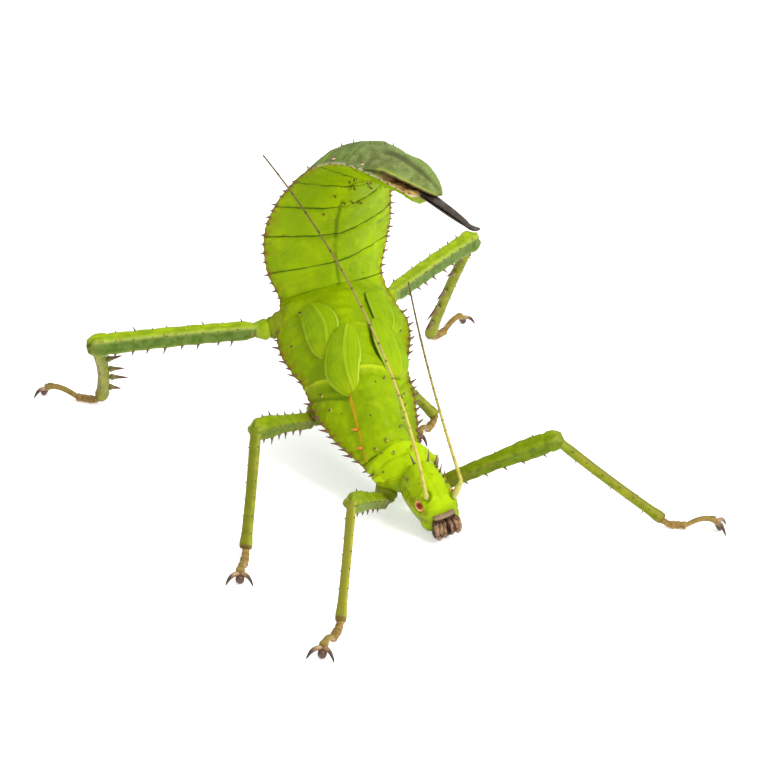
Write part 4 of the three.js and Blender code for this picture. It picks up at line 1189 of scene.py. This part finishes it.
def palp_of(hand, across, root, tip, spread_out, thick, joints, bow_out):
    start = in_head(FRONT + 0.9, hand * across, root)[0]
    end = in_head(FRONT + 1.05, hand * spread_out, tip)[0]

    def rule(turn, t):
        bead = np.abs(np.sin(math.pi * t * joints)) ** 0.5
        ring = thick * (0.72 + 0.30 * bead) * end_close(t, 0.04, 0.10)
        bow = bow_out * np.sin(math.pi * t)
        points = limb_points(start, end, HEAD_WAYS[0], turn, t, ring, ring, bow)
        points = points + HEAD_WAYS[1] * (hand * bow_out * 0.5 * np.sin(math.pi * t))[:, None]
        return points, {"joint": 1 - bead, "lip": 0.0}
    return rule


LUMPS = {  # place, and its length and half width and half height
    "upper lip": ((FRONT - 0.9, 0, 0.1), (1.6, 2.05, 0.40)),
    "right jaw": ((FRONT - 0.9, 1.10, -2.25), (1.7, 1.15, 2.1)),
    "left jaw": ((FRONT - 0.9, -1.10, -2.25), (1.7, 1.15, 2.1)),
    "lower lip": ((FRONT - 1.0, 0.2, -3.8), (1.9, 2.2, 1.15)),
}
mouth_pieces = [
    tube(name, 28, 18, soft_box(*spot, size, name == "upper lip")) for name, (spot, size) in LUMPS.items()
]
for hand in SIDES.values():
    mouth_pieces += [tube("palp", 14, 40, palp_of(hand, *palp)) for palp in PALPS]
mouth = joined(mouth_pieces, "mouthparts")
print("mouth", triangles(mouth), "triangles")

# %% [markdown]
# ## Feelers
# A feeler has a thick first joint and a whip of some twenty joints that bows gently under its own
# weight.  The whip is a tube round a curve, and it swells a little at each joint.

# %% Feelers
FEELERS = {  # way of the first joint in the head's directions, tip, bow of the whip
    "right": ((0.4, 0.3, 2.0), np.array([-21.8, 20.5, 56.6]), np.array([4.2, 0, 0.6])),
    "left": ((0.2, -1.8, 2.6), np.array([4.6, 32.4, 27.8]), np.array([-0.8, 0, 0.8])),
}
WHIP_JOINTS = 20
SCAPE = {"right": (0.5, 0.46), "left": (1.0, 0.58)}  # depth of the root, thickness
feelers = []
for side, (joint, tip, bow) in FEELERS.items():
    root = FEELER_ROOTS[side]
    start = in_head(*root)[0]
    scape_end = start + np.array(joint) @ HEAD_WAYS
    base = start - HEAD_WAYS[2] * SCAPE[side][0]

    def scape_rule(turn, t, base=base, end=scape_end, thick=SCAPE[side][1]):
        ring = thick * (0.78 + 0.22 * np.sin(math.pi * np.minimum(1, t * 1.2))) * end_close(t, 0.1, 0.1)
        ring = ring * (1 - 0.22 * gauss(t, 0.80, 0.03))
        points = limb_points(base, end, HEAD_WAYS[0], turn, t * 1.04, ring, ring)
        return points, {"run": t * 0.02, "joint": gauss(t, 0.97, 0.05), "scape": 1.0}

    bend = (scape_end + tip) / 2 + bow * 2

    def whip_rule(turn, t, a=scape_end, b=bend, c=tip):
        way = 2 * ((1 - t)[:, None] * (b - a) + t[:, None] * (c - b))
        middle = ((1 - t) ** 2)[:, None] * a + (2 * t * (1 - t))[:, None] * b + (t**2)[:, None] * c
        aside = np.cross(way, UP)
        aside /= np.linalg.norm(aside, axis=1, keepdims=True)
        over = np.cross(aside, way)
        over /= np.linalg.norm(over, axis=1, keepdims=True)
        count = (t**0.8 * WHIP_JOINTS) % 1
        knot = (gauss(count, 0.97, 0.05) + gauss(count, -0.03, 0.05)) * ease(t, 0.08, 0.2)
        ring = (0.38 - 0.22 * np.sqrt(t)) * (0.95 + 0.20 * knot) * end_close(t, 0.004, 0.006)
        points = middle + aside * (ring * np.cos(turn))[:, None] + over * (ring * np.sin(turn))[:, None]
        return points, {"run": t, "joint": knot, "scape": 0.0}

    parts = [tube("scape", 20, 24, scape_rule), tube("whip", 10, 420, whip_rule)]
    feelers.append(joined(parts, f"feeler_{side}"))
print("feelers", triangles(*feelers), "triangles")

# %% [markdown]
# ## Claws
# Every foot ends in two curved horn claws with a soft pad between them.  The claws are the thinnest
# pieces of the animal; each is a tapered tube bent down to the ground.

# %% Claws
claw_pieces = []
for leg in legs.values():
    way = unit(leg["toe"] - leg["ankle"])
    aside = unit(np.cross(way, UP))
    base = leg["toe"] * [1, 1, 0] + [0, 0, 1.7] - way * 0.3
    for hand in (1, -1):
        end = (base + way * 1.9 + aside * hand * 2.35) * [1, 1, 0] + [0, 0, 0.18]

        def claw_rule(turn, t, base=base, end=end):
            ring = (0.52 * (1 - t) ** 0.6 + 0.05) * end_close(t, 0.04, 0.04)
            bow = 0.75 * np.sin(math.pi * t)
            points = limb_points(base, end, UP, turn, t, ring * 0.8, ring, bow)
            points[:, 2] = np.maximum(points[:, 2], ABOVE_FLOOR)
            return points, {"run": t}
        claw_pieces.append(tube("claw", 10, 16, claw_rule))

    def cushion_rule(turn, t, base=base, way=way, aside=aside):
        ring = end_close(t, 0.5, 0.4)
        points = base + way * (t * 1.7 - 0.2)[:, None] + aside * (0.78 * ring * np.cos(turn))[:, None]
        points = points + UP * (0.80 * ring * np.sin(turn) - 0.75 * np.minimum(1, t * 2))[:, None]
        points[:, 2] = np.maximum(points[:, 2], ABOVE_FLOOR)
        return points, {"run": 2.0}
    claw_pieces.append(tube("cushion", 14, 10, cushion_rule))
claws = joined(claw_pieces, "claw_pairs")
print("claws", triangles(claws), "triangles")

# %% [markdown]
# ## Shader sums in plain Python
# A finish is built from patterns, and a pattern is a sum on numbers that change over the surface.
# One small class wraps a socket, so that a sum written in Python adds the Math nodes itself.

# %% Sums on sockets
class Shade:
    """A number, vector or colour that changes over the surface."""

    def __init__(self, tree, socket=None):
        self.tree, self.socket = tree, socket

    def node(self, kind, settings=None, inputs=None, out=0):
        made = self.tree.nodes.new(kind)
        for key, value in (settings or {}).items():
            setattr(made, key, value)
        for key, value in (inputs or {}).items():
            if isinstance(value, Shade):
                self.tree.links.new(value.socket, made.inputs[key])
            elif isinstance(value, tuple) and len(value) == 3 and made.inputs[key].type == "RGBA":
                made.inputs[key].default_value = (*value, 1)
            else:
                made.inputs[key].default_value = value
        return Shade(self.tree, made.outputs[out])

    def math(self, operation, first, second=0.0):
        return self.node("ShaderNodeMath", {"operation": operation}, {0: first, 1: second})

    def __add__(self, other):
        return self.math("ADD", self, other)

    __radd__ = __add__

    def __sub__(self, other):
        return self.math("SUBTRACT", self, other)

    def __rsub__(self, other):
        return self.math("SUBTRACT", other, self)

    def __mul__(self, other):
        return self.math("MULTIPLY", self, other)

    __rmul__ = __mul__

    def __truediv__(self, other):
        return self.math("DIVIDE", self, other)

    def __abs__(self):
        return self.math("ABSOLUTE", self)

    def __mod__(self, other):
        return self.math("FLOORED_MODULO", self, other)

    def ramp(self, low, high):
        """0 where this is at low, 1 at high, smooth between; low may be the larger."""
        ends = {"Value": self, "From Min": low, "From Max": high}
        return self.node("ShaderNodeMapRange", {"interpolation_type": "SMOOTHSTEP"}, ends)

    def over(self, colour, paint):
        """colour with paint laid over it by this much."""
        ends = {0: self, 6: colour, 7: paint}
        return self.node("ShaderNodeMix", {"data_type": "RGBA", "clamp_factor": True}, ends, 2)

    def value(self, name):
        return self.node("ShaderNodeAttribute", {"attribute_name": name}, out="Fac")

    def values(self, names):
        return [self.value(name) for name in names.split()]

    def place(self):
        return self.node("ShaderNodeTexCoord", out="Object")

    def clouds(self, grain, detail=3.0, shift=(0, 0, 0), stretch=(1, 1, 1)):
        """Soft noise about 0.5, its grain in millimetres."""
        moved = {"Vector": self.place(), "Location": shift, "Scale": stretch}
        where = self.node("ShaderNodeMapping", {}, moved)
        inputs = {"Vector": where, "Scale": 1 / MM / grain, "Detail": detail}
        return self.node("ShaderNodeTexNoise", {}, inputs)

    def grains(self, size, reach=0.5):
        """1 at the middle of scattered dots about size millimetres apart, 0 between them."""
        inputs = {"Vector": self.place(), "Scale": 1 / MM / size}
        return self.node("ShaderNodeTexVoronoi", {}, inputs).ramp(reach, reach * 0.35)

    def mottled(self, grain, first, second, low=0.35, high=0.65, detail=3.0, shift=(0, 0, 0)):
        """Two colours in soft patches."""
        return self.clouds(grain, detail, shift).ramp(low, high).over(first, second)

    def uneven(self, middle, spread, grain=1):
        """A roughness that varies a little from place to place."""
        return self.clouds(grain).ramp(0.3, 0.7) * spread + middle


def layered(colour, *coats):
    """colour with coats laid over it in turn, each given by how much and of what."""
    for amount, paint in coats:
        colour = amount.over(colour, paint)
    return colour


def finish(name, paint, **plain):
    """A material.  paint gets an empty Shade and gives a dict of what changes over the surface,
    with relief, in millimetres, for what stands out; plain values go on the shader's sockets."""
    made = bpy.data.materials.new(name)
    made.use_nodes = True
    shader = made.node_tree.nodes["Principled BSDF"]
    for key, value in plain.items():
        shader.inputs[key.replace("_", " ")].default_value = value
    bench = Shade(made.node_tree)
    for key, value in paint(bench).items():
        if key == "relief":
            inputs = {"Height": value, "Distance": MM, "Strength": 1.0}
            value, key = bench.node("ShaderNodeBump", {}, inputs), "Normal"
        made.node_tree.links.new(value.socket, shader.inputs[key])
    return made


# %% [markdown]
# ## Skin of the body
# The green comes from the pigment of leaves: yellow-green above, a cooler grey-green below, darker
# in every fold, with red-brown along the saw of both margins and a soft dark line down the abdomen.
# Shade is painted in too: over the thorax, towards the right side of thorax and abdomen, in the
# creases of the back and on the sides of the head.  The values painted on the points say where
# each of these lies.

# %% Body skin
LEAF = (0.285, 0.415, 0.001)
LEAF_DEEP = (0.205, 0.315, 0.001)
LEAF_YELLOW = (0.37, 0.50, 0.001)
LEAF_BRIGHT = (0.43, 0.60, 0.001)
UNDERSIDE = (0.10, 0.15, 0.024)
UNDERSIDE_PALE = (0.16, 0.23, 0.055)
UNDERSIDE_DARK = (0.055, 0.08, 0.014)
# A dark green for dark marks on the back, and for painted shade.
DARK_GREEN_AND_SHADE = (0.085, 0.145, 0.001)
FLESH = (0.20, 0.085, 0.03)
FLESH_PALE = (0.40, 0.27, 0.09)
FOLD = (0.025, 0.065, 0.001)
FOLD_BELOW = (0.30, 0.42, 0.03)
YELLOW = (0.55, 0.62, 0.02)
ORANGE = (0.62, 0.29, 0.012)
RUST = (0.17, 0.040, 0.016)
EDGE_CREAM = (0.58, 0.50, 0.36)
EDGE_BROWN = (0.20, 0.12, 0.008)
SEGMENT_LENGTH = 6.0


def body_paint(s):
    at, across, back, margin, seam, flank = s.values("at across back margin seam flank")
    from_seam = abs((seam + 0.5) % 1 - 0.5) * SEGMENT_LENGTH
    fold_width = s.clouds(4.0, 2, (1, 1, 8)).ramp(0.3, 0.7) * 0.13 + 0.075
    fold = (from_seam / fold_width).ramp(1.5, 0.4)
    tail = at.ramp(-27.0, -30.0)
    thorax = at.ramp(0.0, 4.0) * at.ramp(42.0, 40.5) * back
    neck_and_head = at.ramp(41.0, 42.5) * (0.55 - at.ramp(47.5, 49.5) * 0.18) * back
    middle_line = abs(across).ramp(0.05, 0.01) * at.ramp(3.0, 0.0) * back
    side_line = abs(abs(across) - 0.66).ramp(0.04, 0.0) * at.ramp(1.0, -3.0) * back
    ridge_line = abs(flank).ramp(0.030, 0.010) * at.ramp(28.0, 29.0) * at.ramp(41.0, 40.2) * back
    near_edge = abs(across).ramp(0.80, 0.99) * back * s.clouds(1.1).ramp(0.42, 0.60)
    top = layered(
        s.mottled(7, LEAF_DEEP, LEAF, 0.35, 0.68),
        (s.clouds(2.2, shift=(3, 1, 0)).ramp(0.50, 0.72) * 0.45, LEAF_YELLOW),
        (s.clouds(0.8, shift=(1, 5, 0)).ramp(0.62, 0.40) * 0.20, LEAF_DEEP),
    )
    below = layered(
        s.mottled(2.6, UNDERSIDE, UNDERSIDE_PALE, detail=4),
        (s.clouds(0.9, 3, (4, 4, 0)).ramp(0.60, 0.72) * 0.4, UNDERSIDE_DARK),
        (at.ramp(-40.5, -44.0), s.mottled(1.3, FLESH, FLESH_PALE, 0.40, 0.62, shift=(3, 3, 9))),
    )
    colour = layered(
        back.over(below, top),
        # Painted shade: the thorax is darkened, more towards its right side, and the abdomen towards its
        # right margin.
        (thorax * (across.ramp(-0.5, 0.5) * 0.08 + 0.12), DARK_GREEN_AND_SHADE),
        (at.ramp(4.0, 0.0) * back * across.ramp(0.1, 0.9) * 0.25, DARK_GREEN_AND_SHADE),
        (neck_and_head, LEAF_BRIGHT),
        (middle_line * s.clouds(5).ramp(0.25, 0.5) * 0.75, DARK_GREEN_AND_SHADE),
        (side_line * 0.25, LEAF_DEEP),
        (s.clouds(2.4, 4, (7, 2, 1)).ramp(0.66, 0.74) * back * 0.55, DARK_GREEN_AND_SHADE),
        # Painted shade from the points: in the creases and grooves of the back and on the sides of the head.
        (s.value("shade") * 0.7, DARK_GREEN_AND_SHADE),
        (fold * back * 0.85, FOLD),
        (fold * (1 - back) * 0.7, FOLD_BELOW),
        (s.value("yellow") * 0.75, YELLOW),
        (ridge_line * 0.9, ORANGE),
        (margin * s.clouds(1.4, 3, (2, 2, 2)).ramp(0.30, 0.55) * (1 - tail) * 0.9, RUST),
        (margin * tail * 0.75, EDGE_CREAM),
        (near_edge * 0.55, EDGE_BROWN),
    )
    relief = s.clouds(0.45, 4) * 0.035 + s.clouds(1.8, 2) * 0.07 + s.grains(1.5) * 0.02
    return {"Base Color": colour, "Roughness": s.uneven(0.36, 0.14, 1.2), "relief": relief}


body_skin = finish("body skin", body_paint, Specular_IOR_Level=0.06)
print("body skin of", len(body_skin.node_tree.nodes), "nodes")

# %% [markdown]
# ## Skin of the legs
# Each limb has its own colours: the thigh is bright above, blue-green below and cream along its
# keels, with rust flecks; the shin is olive and brown along its edge; the foot is tan.

# %% Leg skin
THIGH_TOP = (0.19, 0.29, 0.003), (0.30, 0.40, 0.006)
THIGH_BELOW = (0.065, 0.115, 0.012), (0.11, 0.17, 0.03)
THIGH_PLAIN = (0.09, 0.135, 0.002), (0.14, 0.20, 0.004)
KEEL_CREAM = (0.42, 0.48, 0.10)
SHIN_OLIVE = (0.145, 0.175, 0.006), (0.235, 0.255, 0.012)
FOOT_TAN = (0.19, 0.115, 0.030), (0.30, 0.20, 0.06)
THORN_TIP = (0.050, 0.012, 0.007)


def thigh_paint(s):
    back, ridge, run, hind = s.values("back ridge run hind")
    plain = s.mottled(1.5, *THIGH_PLAIN)
    below = hind.over(plain, s.mottled(1.5, *THIGH_BELOW))
    top = (hind * 0.55 + 0.45).over(plain, s.mottled(2.0, *THIGH_TOP))
    root = run.ramp(0.55, 0.0) * (1 - hind) * (s.clouds(1.6, 3, (2, 7, 7)).ramp(0.40, 0.60) * 0.5 + 0.5)
    colour = layered(
        back.over(below, top),
        (ridge * (hind * 0.40 + 0.12), KEEL_CREAM),
        (s.clouds(1.3, 2, (4, 1, 2)).ramp(0.60, 0.70) * ridge * 0.8, (0.21, 0.05, 0.02)),
        (s.clouds(0.6).ramp(0.60, 0.75) * 0.35, (0.09, 0.17, 0.01)),
        (root * 0.55, (0.16, 0.095, 0.012)),
        (run.ramp(0.93, 1.0) * 0.35, (0.20, 0.20, 0.03)),
    )
    relief = s.clouds(0.35, 3) * 0.05 + s.clouds(1.2, 2) * 0.08
    return {"Base Color": colour, "Roughness": s.uneven(0.38, 0.12), "relief": relief}


def shin_paint(s):
    ridge, run, rise, pale, hind = s.values("ridge run rise back hind")
    brown = hind.over((0.11, 0.12, 0.006), (0.15, 0.085, 0.018))
    colour = layered(
        s.mottled(1.8, *SHIN_OLIVE),
        (run.ramp(0.25, 0.0) * 0.6, (0.16, 0.29, 0.012)),
        (pale * 0.55, (0.40, 0.35, 0.05)),
        (rise.ramp(-0.3, -0.9) * 0.65, brown),
        (ridge * 0.30, (0.34, 0.30, 0.07)),
        (s.clouds(0.7, 3, (5, 0, 2)).ramp(0.60, 0.72) * 0.5, (0.13, 0.065, 0.02)),
        (run.ramp(0.955, 0.985) * 0.75, (0.12, 0.055, 0.022)),
    )
    return {"Base Color": colour, "Roughness": s.uneven(0.38, 0.12), "relief": s.clouds(0.35, 3) * 0.05}


def foot_paint(s):
    run, rise, joint = s.values("run rise ridge")
    colour = layered(
        s.mottled(1.0, *FOOT_TAN),
        (run.ramp(0.45, 0.6) * 0.35, (0.18, 0.15, 0.03)),
        (joint * run.ramp(0.5, 0.42) * 0.6, (0.11, 0.05, 0.02)),
        (rise.ramp(-0.2, -0.8) * 0.5, (0.45, 0.33, 0.19)),
    )
    return {"Base Color": colour, "Roughness": s.uneven(0.42, 0.1), "relief": s.clouds(0.3, 3) * 0.04}


def thorn_paint(s):
    """ringed is 1 for a small thorn in a pale ring, 2 for a breathing hole, 3 for an orange thorn."""
    tip, dark, ringed = s.values("tip dark ringed")
    ring = tip.ramp(0.40, 0.52).over((0.44, 0.42, 0.012), (0.05, 0.014, 0.004))
    pink = tip.ramp(0.44, 0.56).over((0.48, 0.33, 0.22), (0.13, 0.020, 0.010))
    flame = tip.ramp(0.5, 1.0).over((0.50, 0.16, 0.006), (0.30, 0.035, 0.006))
    special = layered(ring, (ringed.ramp(1.0, 2.0), pink), (ringed.ramp(2.0, 3.0), flame))
    colour = layered(
        (tip.ramp(0.0, 0.2) * (1 - dark)).over(LEAF_DEEP, (0.42, 0.40, 0.02)),
        (tip.ramp(0.25, 0.6) * 0.95, THORN_TIP),
        (dark * tip.ramp(-0.1, 0.15) * 0.95, (0.11, 0.032, 0.016)),
        (ringed.ramp(0.0, 1.0), special),
    )
    return {"Base Color": colour, "Roughness": tip * -0.1 + 0.42}


thigh_skin, shin_skin, foot_skin = (
    finish(name, paint, Specular_IOR_Level=0.07)
    for name, paint in (("thigh skin", thigh_paint), ("shin skin", shin_paint), ("foot skin", foot_paint))
)
thorn_horn = finish("thorn horn", thorn_paint, Specular_IOR_Level=0.5)
print("leg finishes", [m.name for m in (thigh_skin, shin_skin, foot_skin, thorn_horn)])

# %% [markdown]
# ## One skin
# Body, neck, head, legs and thorns become one object, so that no seam shows between them.  It
# stands for every solid of flesh, and each part of it keeps its own finish.

# %% Join the skin
def dress(piece, material):
    piece.data.materials.clear()
    piece.data.materials.append(material)


for piece in (trunk, neck, head):
    dress(piece, body_skin)
for pieces in leg_skins.values():
    for piece, material in zip(pieces, (thigh_skin, thigh_skin, shin_skin, foot_skin)):
        dress(piece, material)
for piece in thorns:
    dress(piece, thorn_horn)
bpy.data.objects.remove(pattern)
limbs = [piece for pieces in leg_skins.values() for piece in pieces]
skin = joined([trunk, neck, head, *limbs, *thorns], "skin")
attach(skin, "root")
flesh = ["metathorax", "mesothorax", "prothorax", "head"]
flesh += [f"abdomen_{i}" for i in range(2, 10)]
flesh += [f"{part}_{leg}" for part in ("coxa", "femur", "tibia", "tarsus") for leg in LEGS]
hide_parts(*flesh)
print("skin", triangles(skin), "triangles, stands for", len(flesh), "solids")

# %% [markdown]
# ## Finishes of the other pieces
# The wing pads are the skin's green with pale veins; the belly plate is mottled grey-green; the
# beak and the claws are dark horn, the mouth and the feelers tan.

# %% Other finishes
PAD_GREEN = (0.175, 0.29, 0.001), (0.22, 0.345, 0.001)
PLATE_GREEN = (0.115, 0.145, 0.035), (0.175, 0.225, 0.065)
BEAK_HORN = (0.028, 0.020, 0.016), (0.070, 0.052, 0.042)
MOUTH_TAN = (0.10, 0.052, 0.026), (0.29, 0.175, 0.09)
JOINT_DARK = (0.045, 0.018, 0.010)
FEELER_STRAW, FEELER_OLIVE = (0.50, 0.42, 0.09), (0.11, 0.085, 0.025)
CLAW_TAN, CLAW_HORN = (0.30, 0.18, 0.08), (0.035, 0.013, 0.009)


def pad_paint(s):
    run, vein, rim, across = s.values("run vein rim across")
    ribs = abs((across * 9) % 1 - 0.5).ramp(0.25, 0.45)
    colour = layered(
        s.mottled(2.5, *PAD_GREEN),
        # Painted light: one side of each pad is lighter.
        (across.ramp(-0.30, -0.38) * 0.7, (0.235, 0.355, 0.002)),
        (run.ramp(0.35, 0.0) * 0.5, (0.36, 0.43, 0.002)),
        (ribs * 0.30, (0.30, 0.46, 0.01)),
        (vein.ramp(0.15, 0.8) * 0.55, (0.38, 0.48, 0.02)),
        (rim.ramp(0.3, 0.9) * 0.6, (0.36, 0.52, 0.06)),
    )
    relief = s.clouds(0.4, 3) * 0.04 + ribs * 0.02
    return {"Base Color": colour, "Roughness": s.uneven(0.40, 0.1), "relief": relief}


def plate_paint(s):
    across, run, rim, keel, outer = s.values("across run rim keel outer")
    # Painted shade: a dark band along one side of the keel.
    keel_shade_band = abs(across - 0.30).ramp(0.22, 0.06) * run.ramp(0.10, 0.3) * run.ramp(0.98, 0.8)
    colour = layered(
        s.mottled(1.6, *PLATE_GREEN, detail=4),
        (s.clouds(0.6, 3, (1, 2, 3)).ramp(0.60, 0.72) * 0.4, UNDERSIDE_DARK),
        (keel_shade_band * 0.75, (0.050, 0.060, 0.014)),
        # Painted light: the plate's other half is lighter.
        (across.ramp(0.10, -0.05) * 0.6, (0.17, 0.26, 0.04)),
        (keel * 0.35, (0.24, 0.36, 0.09)),
        (rim * run.ramp(0.3, 0.5) * 0.75, (0.34, 0.47, 0.05)),
        (1 - outer, (0.13, 0.070, 0.028)),
    )
    relief = s.clouds(0.4, 4) * 0.06 + s.grains(0.9) * 0.05
    return {"Base Color": colour, "Roughness": s.uneven(0.40, 0.12), "relief": relief}


def beak_paint(s):
    lines = s.clouds(1.0, 2, (0, 0, 0), (0.4, 1.6, 1)).ramp(0.5, 0.65)
    colour = layered(
        s.mottled(1.5, *BEAK_HORN, 0.35, 0.7, 4),
        (s.value("run").ramp(0.5, 0.25) * 0.9, (0.30, 0.21, 0.10)),
        (lines * 0.25, (0.10, 0.08, 0.065)),
    )
    return {"Base Color": colour, "Roughness": s.uneven(0.33, 0.15), "relief": s.clouds(0.4, 3) * 0.05}


def eye_paint(s):
    look = s.value("look")
    colour = layered(
        look.ramp(0.0, 0.3).over((0.30, 0.36, 0.03), (0.88, 0.43, 0.15)),
        (look.ramp(0.79, 0.92), (0.26, 0.035, 0.012)),
        (look.ramp(0.95, 0.99), (0.08, 0.012, 0.006)),
        (s.clouds(0.35).ramp(0.5, 0.7) * 0.25, (0.55, 0.16, 0.06)),
    )
    return {"Base Color": colour, "relief": s.grains(0.09) * 0.010}


def mouth_paint(s):
    joint, lip = s.values("joint lip")
    colour = layered(
        s.mottled(0.9, *MOUTH_TAN, 0.38, 0.60),
        (lip * 0.8, (0.19, 0.13, 0.075)),
        (lip * s.clouds(1.3, 3, (2, 0, 1)).ramp(0.4, 0.7) * 0.5, (0.25, 0.20, 0.12)),
        (joint.ramp(0.6, 1.0) * 0.92, JOINT_DARK),
    )
    return {"Base Color": colour, "Roughness": s.uneven(0.38, 0.12), "relief": s.clouds(0.3, 3) * 0.05}


def feeler_paint(s):
    run, joint, scape = s.values("run joint scape")
    colour = layered(
        run.ramp(0.15, 0.85).over(FEELER_STRAW, FEELER_OLIVE),
        (s.clouds(1.2).ramp(0.45, 0.7) * 0.45, (0.22, 0.13, 0.05)),
        (joint * run.ramp(0.0, 0.35) * 0.85, (0.050, 0.022, 0.012)),
        (scape * 0.8, (0.42, 0.42, 0.11)),
    )
    return {"Base Color": colour, "Roughness": run * 0.1 + 0.42, "relief": s.clouds(0.3, 3) * 0.03}


def claw_paint(s):
    """run goes from 0 to 1 along a claw and is 2 on the pad between the claws."""
    run = s.value("run")
    colour = run.ramp(0.20, 0.65).over(CLAW_TAN, CLAW_HORN)
    colour = run.ramp(1.4, 1.6).over(colour, (0.075, 0.030, 0.016))
    return {"Base Color": colour, "Roughness": s.uneven(0.28, 0.1)}


pad_finish = finish("wing pad", pad_paint, Specular_IOR_Level=0.06)
plate_finish = finish("keel plate skin", plate_paint, Specular_IOR_Level=0.10)
beak_finish = finish("beak horn", beak_paint, Specular_IOR_Level=0.3)
eye_finish = finish("eye", eye_paint, Roughness=0.30, Specular_IOR_Level=0.10, Coat_Weight=0.04,
                    Coat_Roughness=0.1)
mouth_finish = finish("mouthpart skin", mouth_paint, Specular_IOR_Level=0.15)
feeler_finish = finish("feeler skin", feeler_paint, Specular_IOR_Level=0.10)
claw_finish = finish("claw horn", claw_paint, Specular_IOR_Level=0.5)
DRESSED = [(piece, pad_finish, "wing_pad", [name]) for name, piece in pads.items()]
DRESSED += [
    (belly_plate, plate_finish, "belly_skin", ["belly_plate"]),
    (beak, beak_finish, "horn", ["egg_beak"]),
]
DRESSED += [(piece, eye_finish, "eye", [f"eye_{side}"]) for side, piece in zip(SIDES, eyes)]
DRESSED += [(mouth, mouth_finish, "mouthparts", ["mouth"])]
DRESSED += [(piece, feeler_finish, "antenna", [f"antenna_{side}"]) for side, piece in zip(FEELERS, feelers)]
DRESSED += [(claws, claw_finish, "horn", [f"claws_{leg}" for leg in LEGS])]
for piece, material, slot, solids in DRESSED:
    dress(piece, material)
    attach(piece, "root")
    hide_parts(*solids)
print("materials", len(bpy.data.materials))
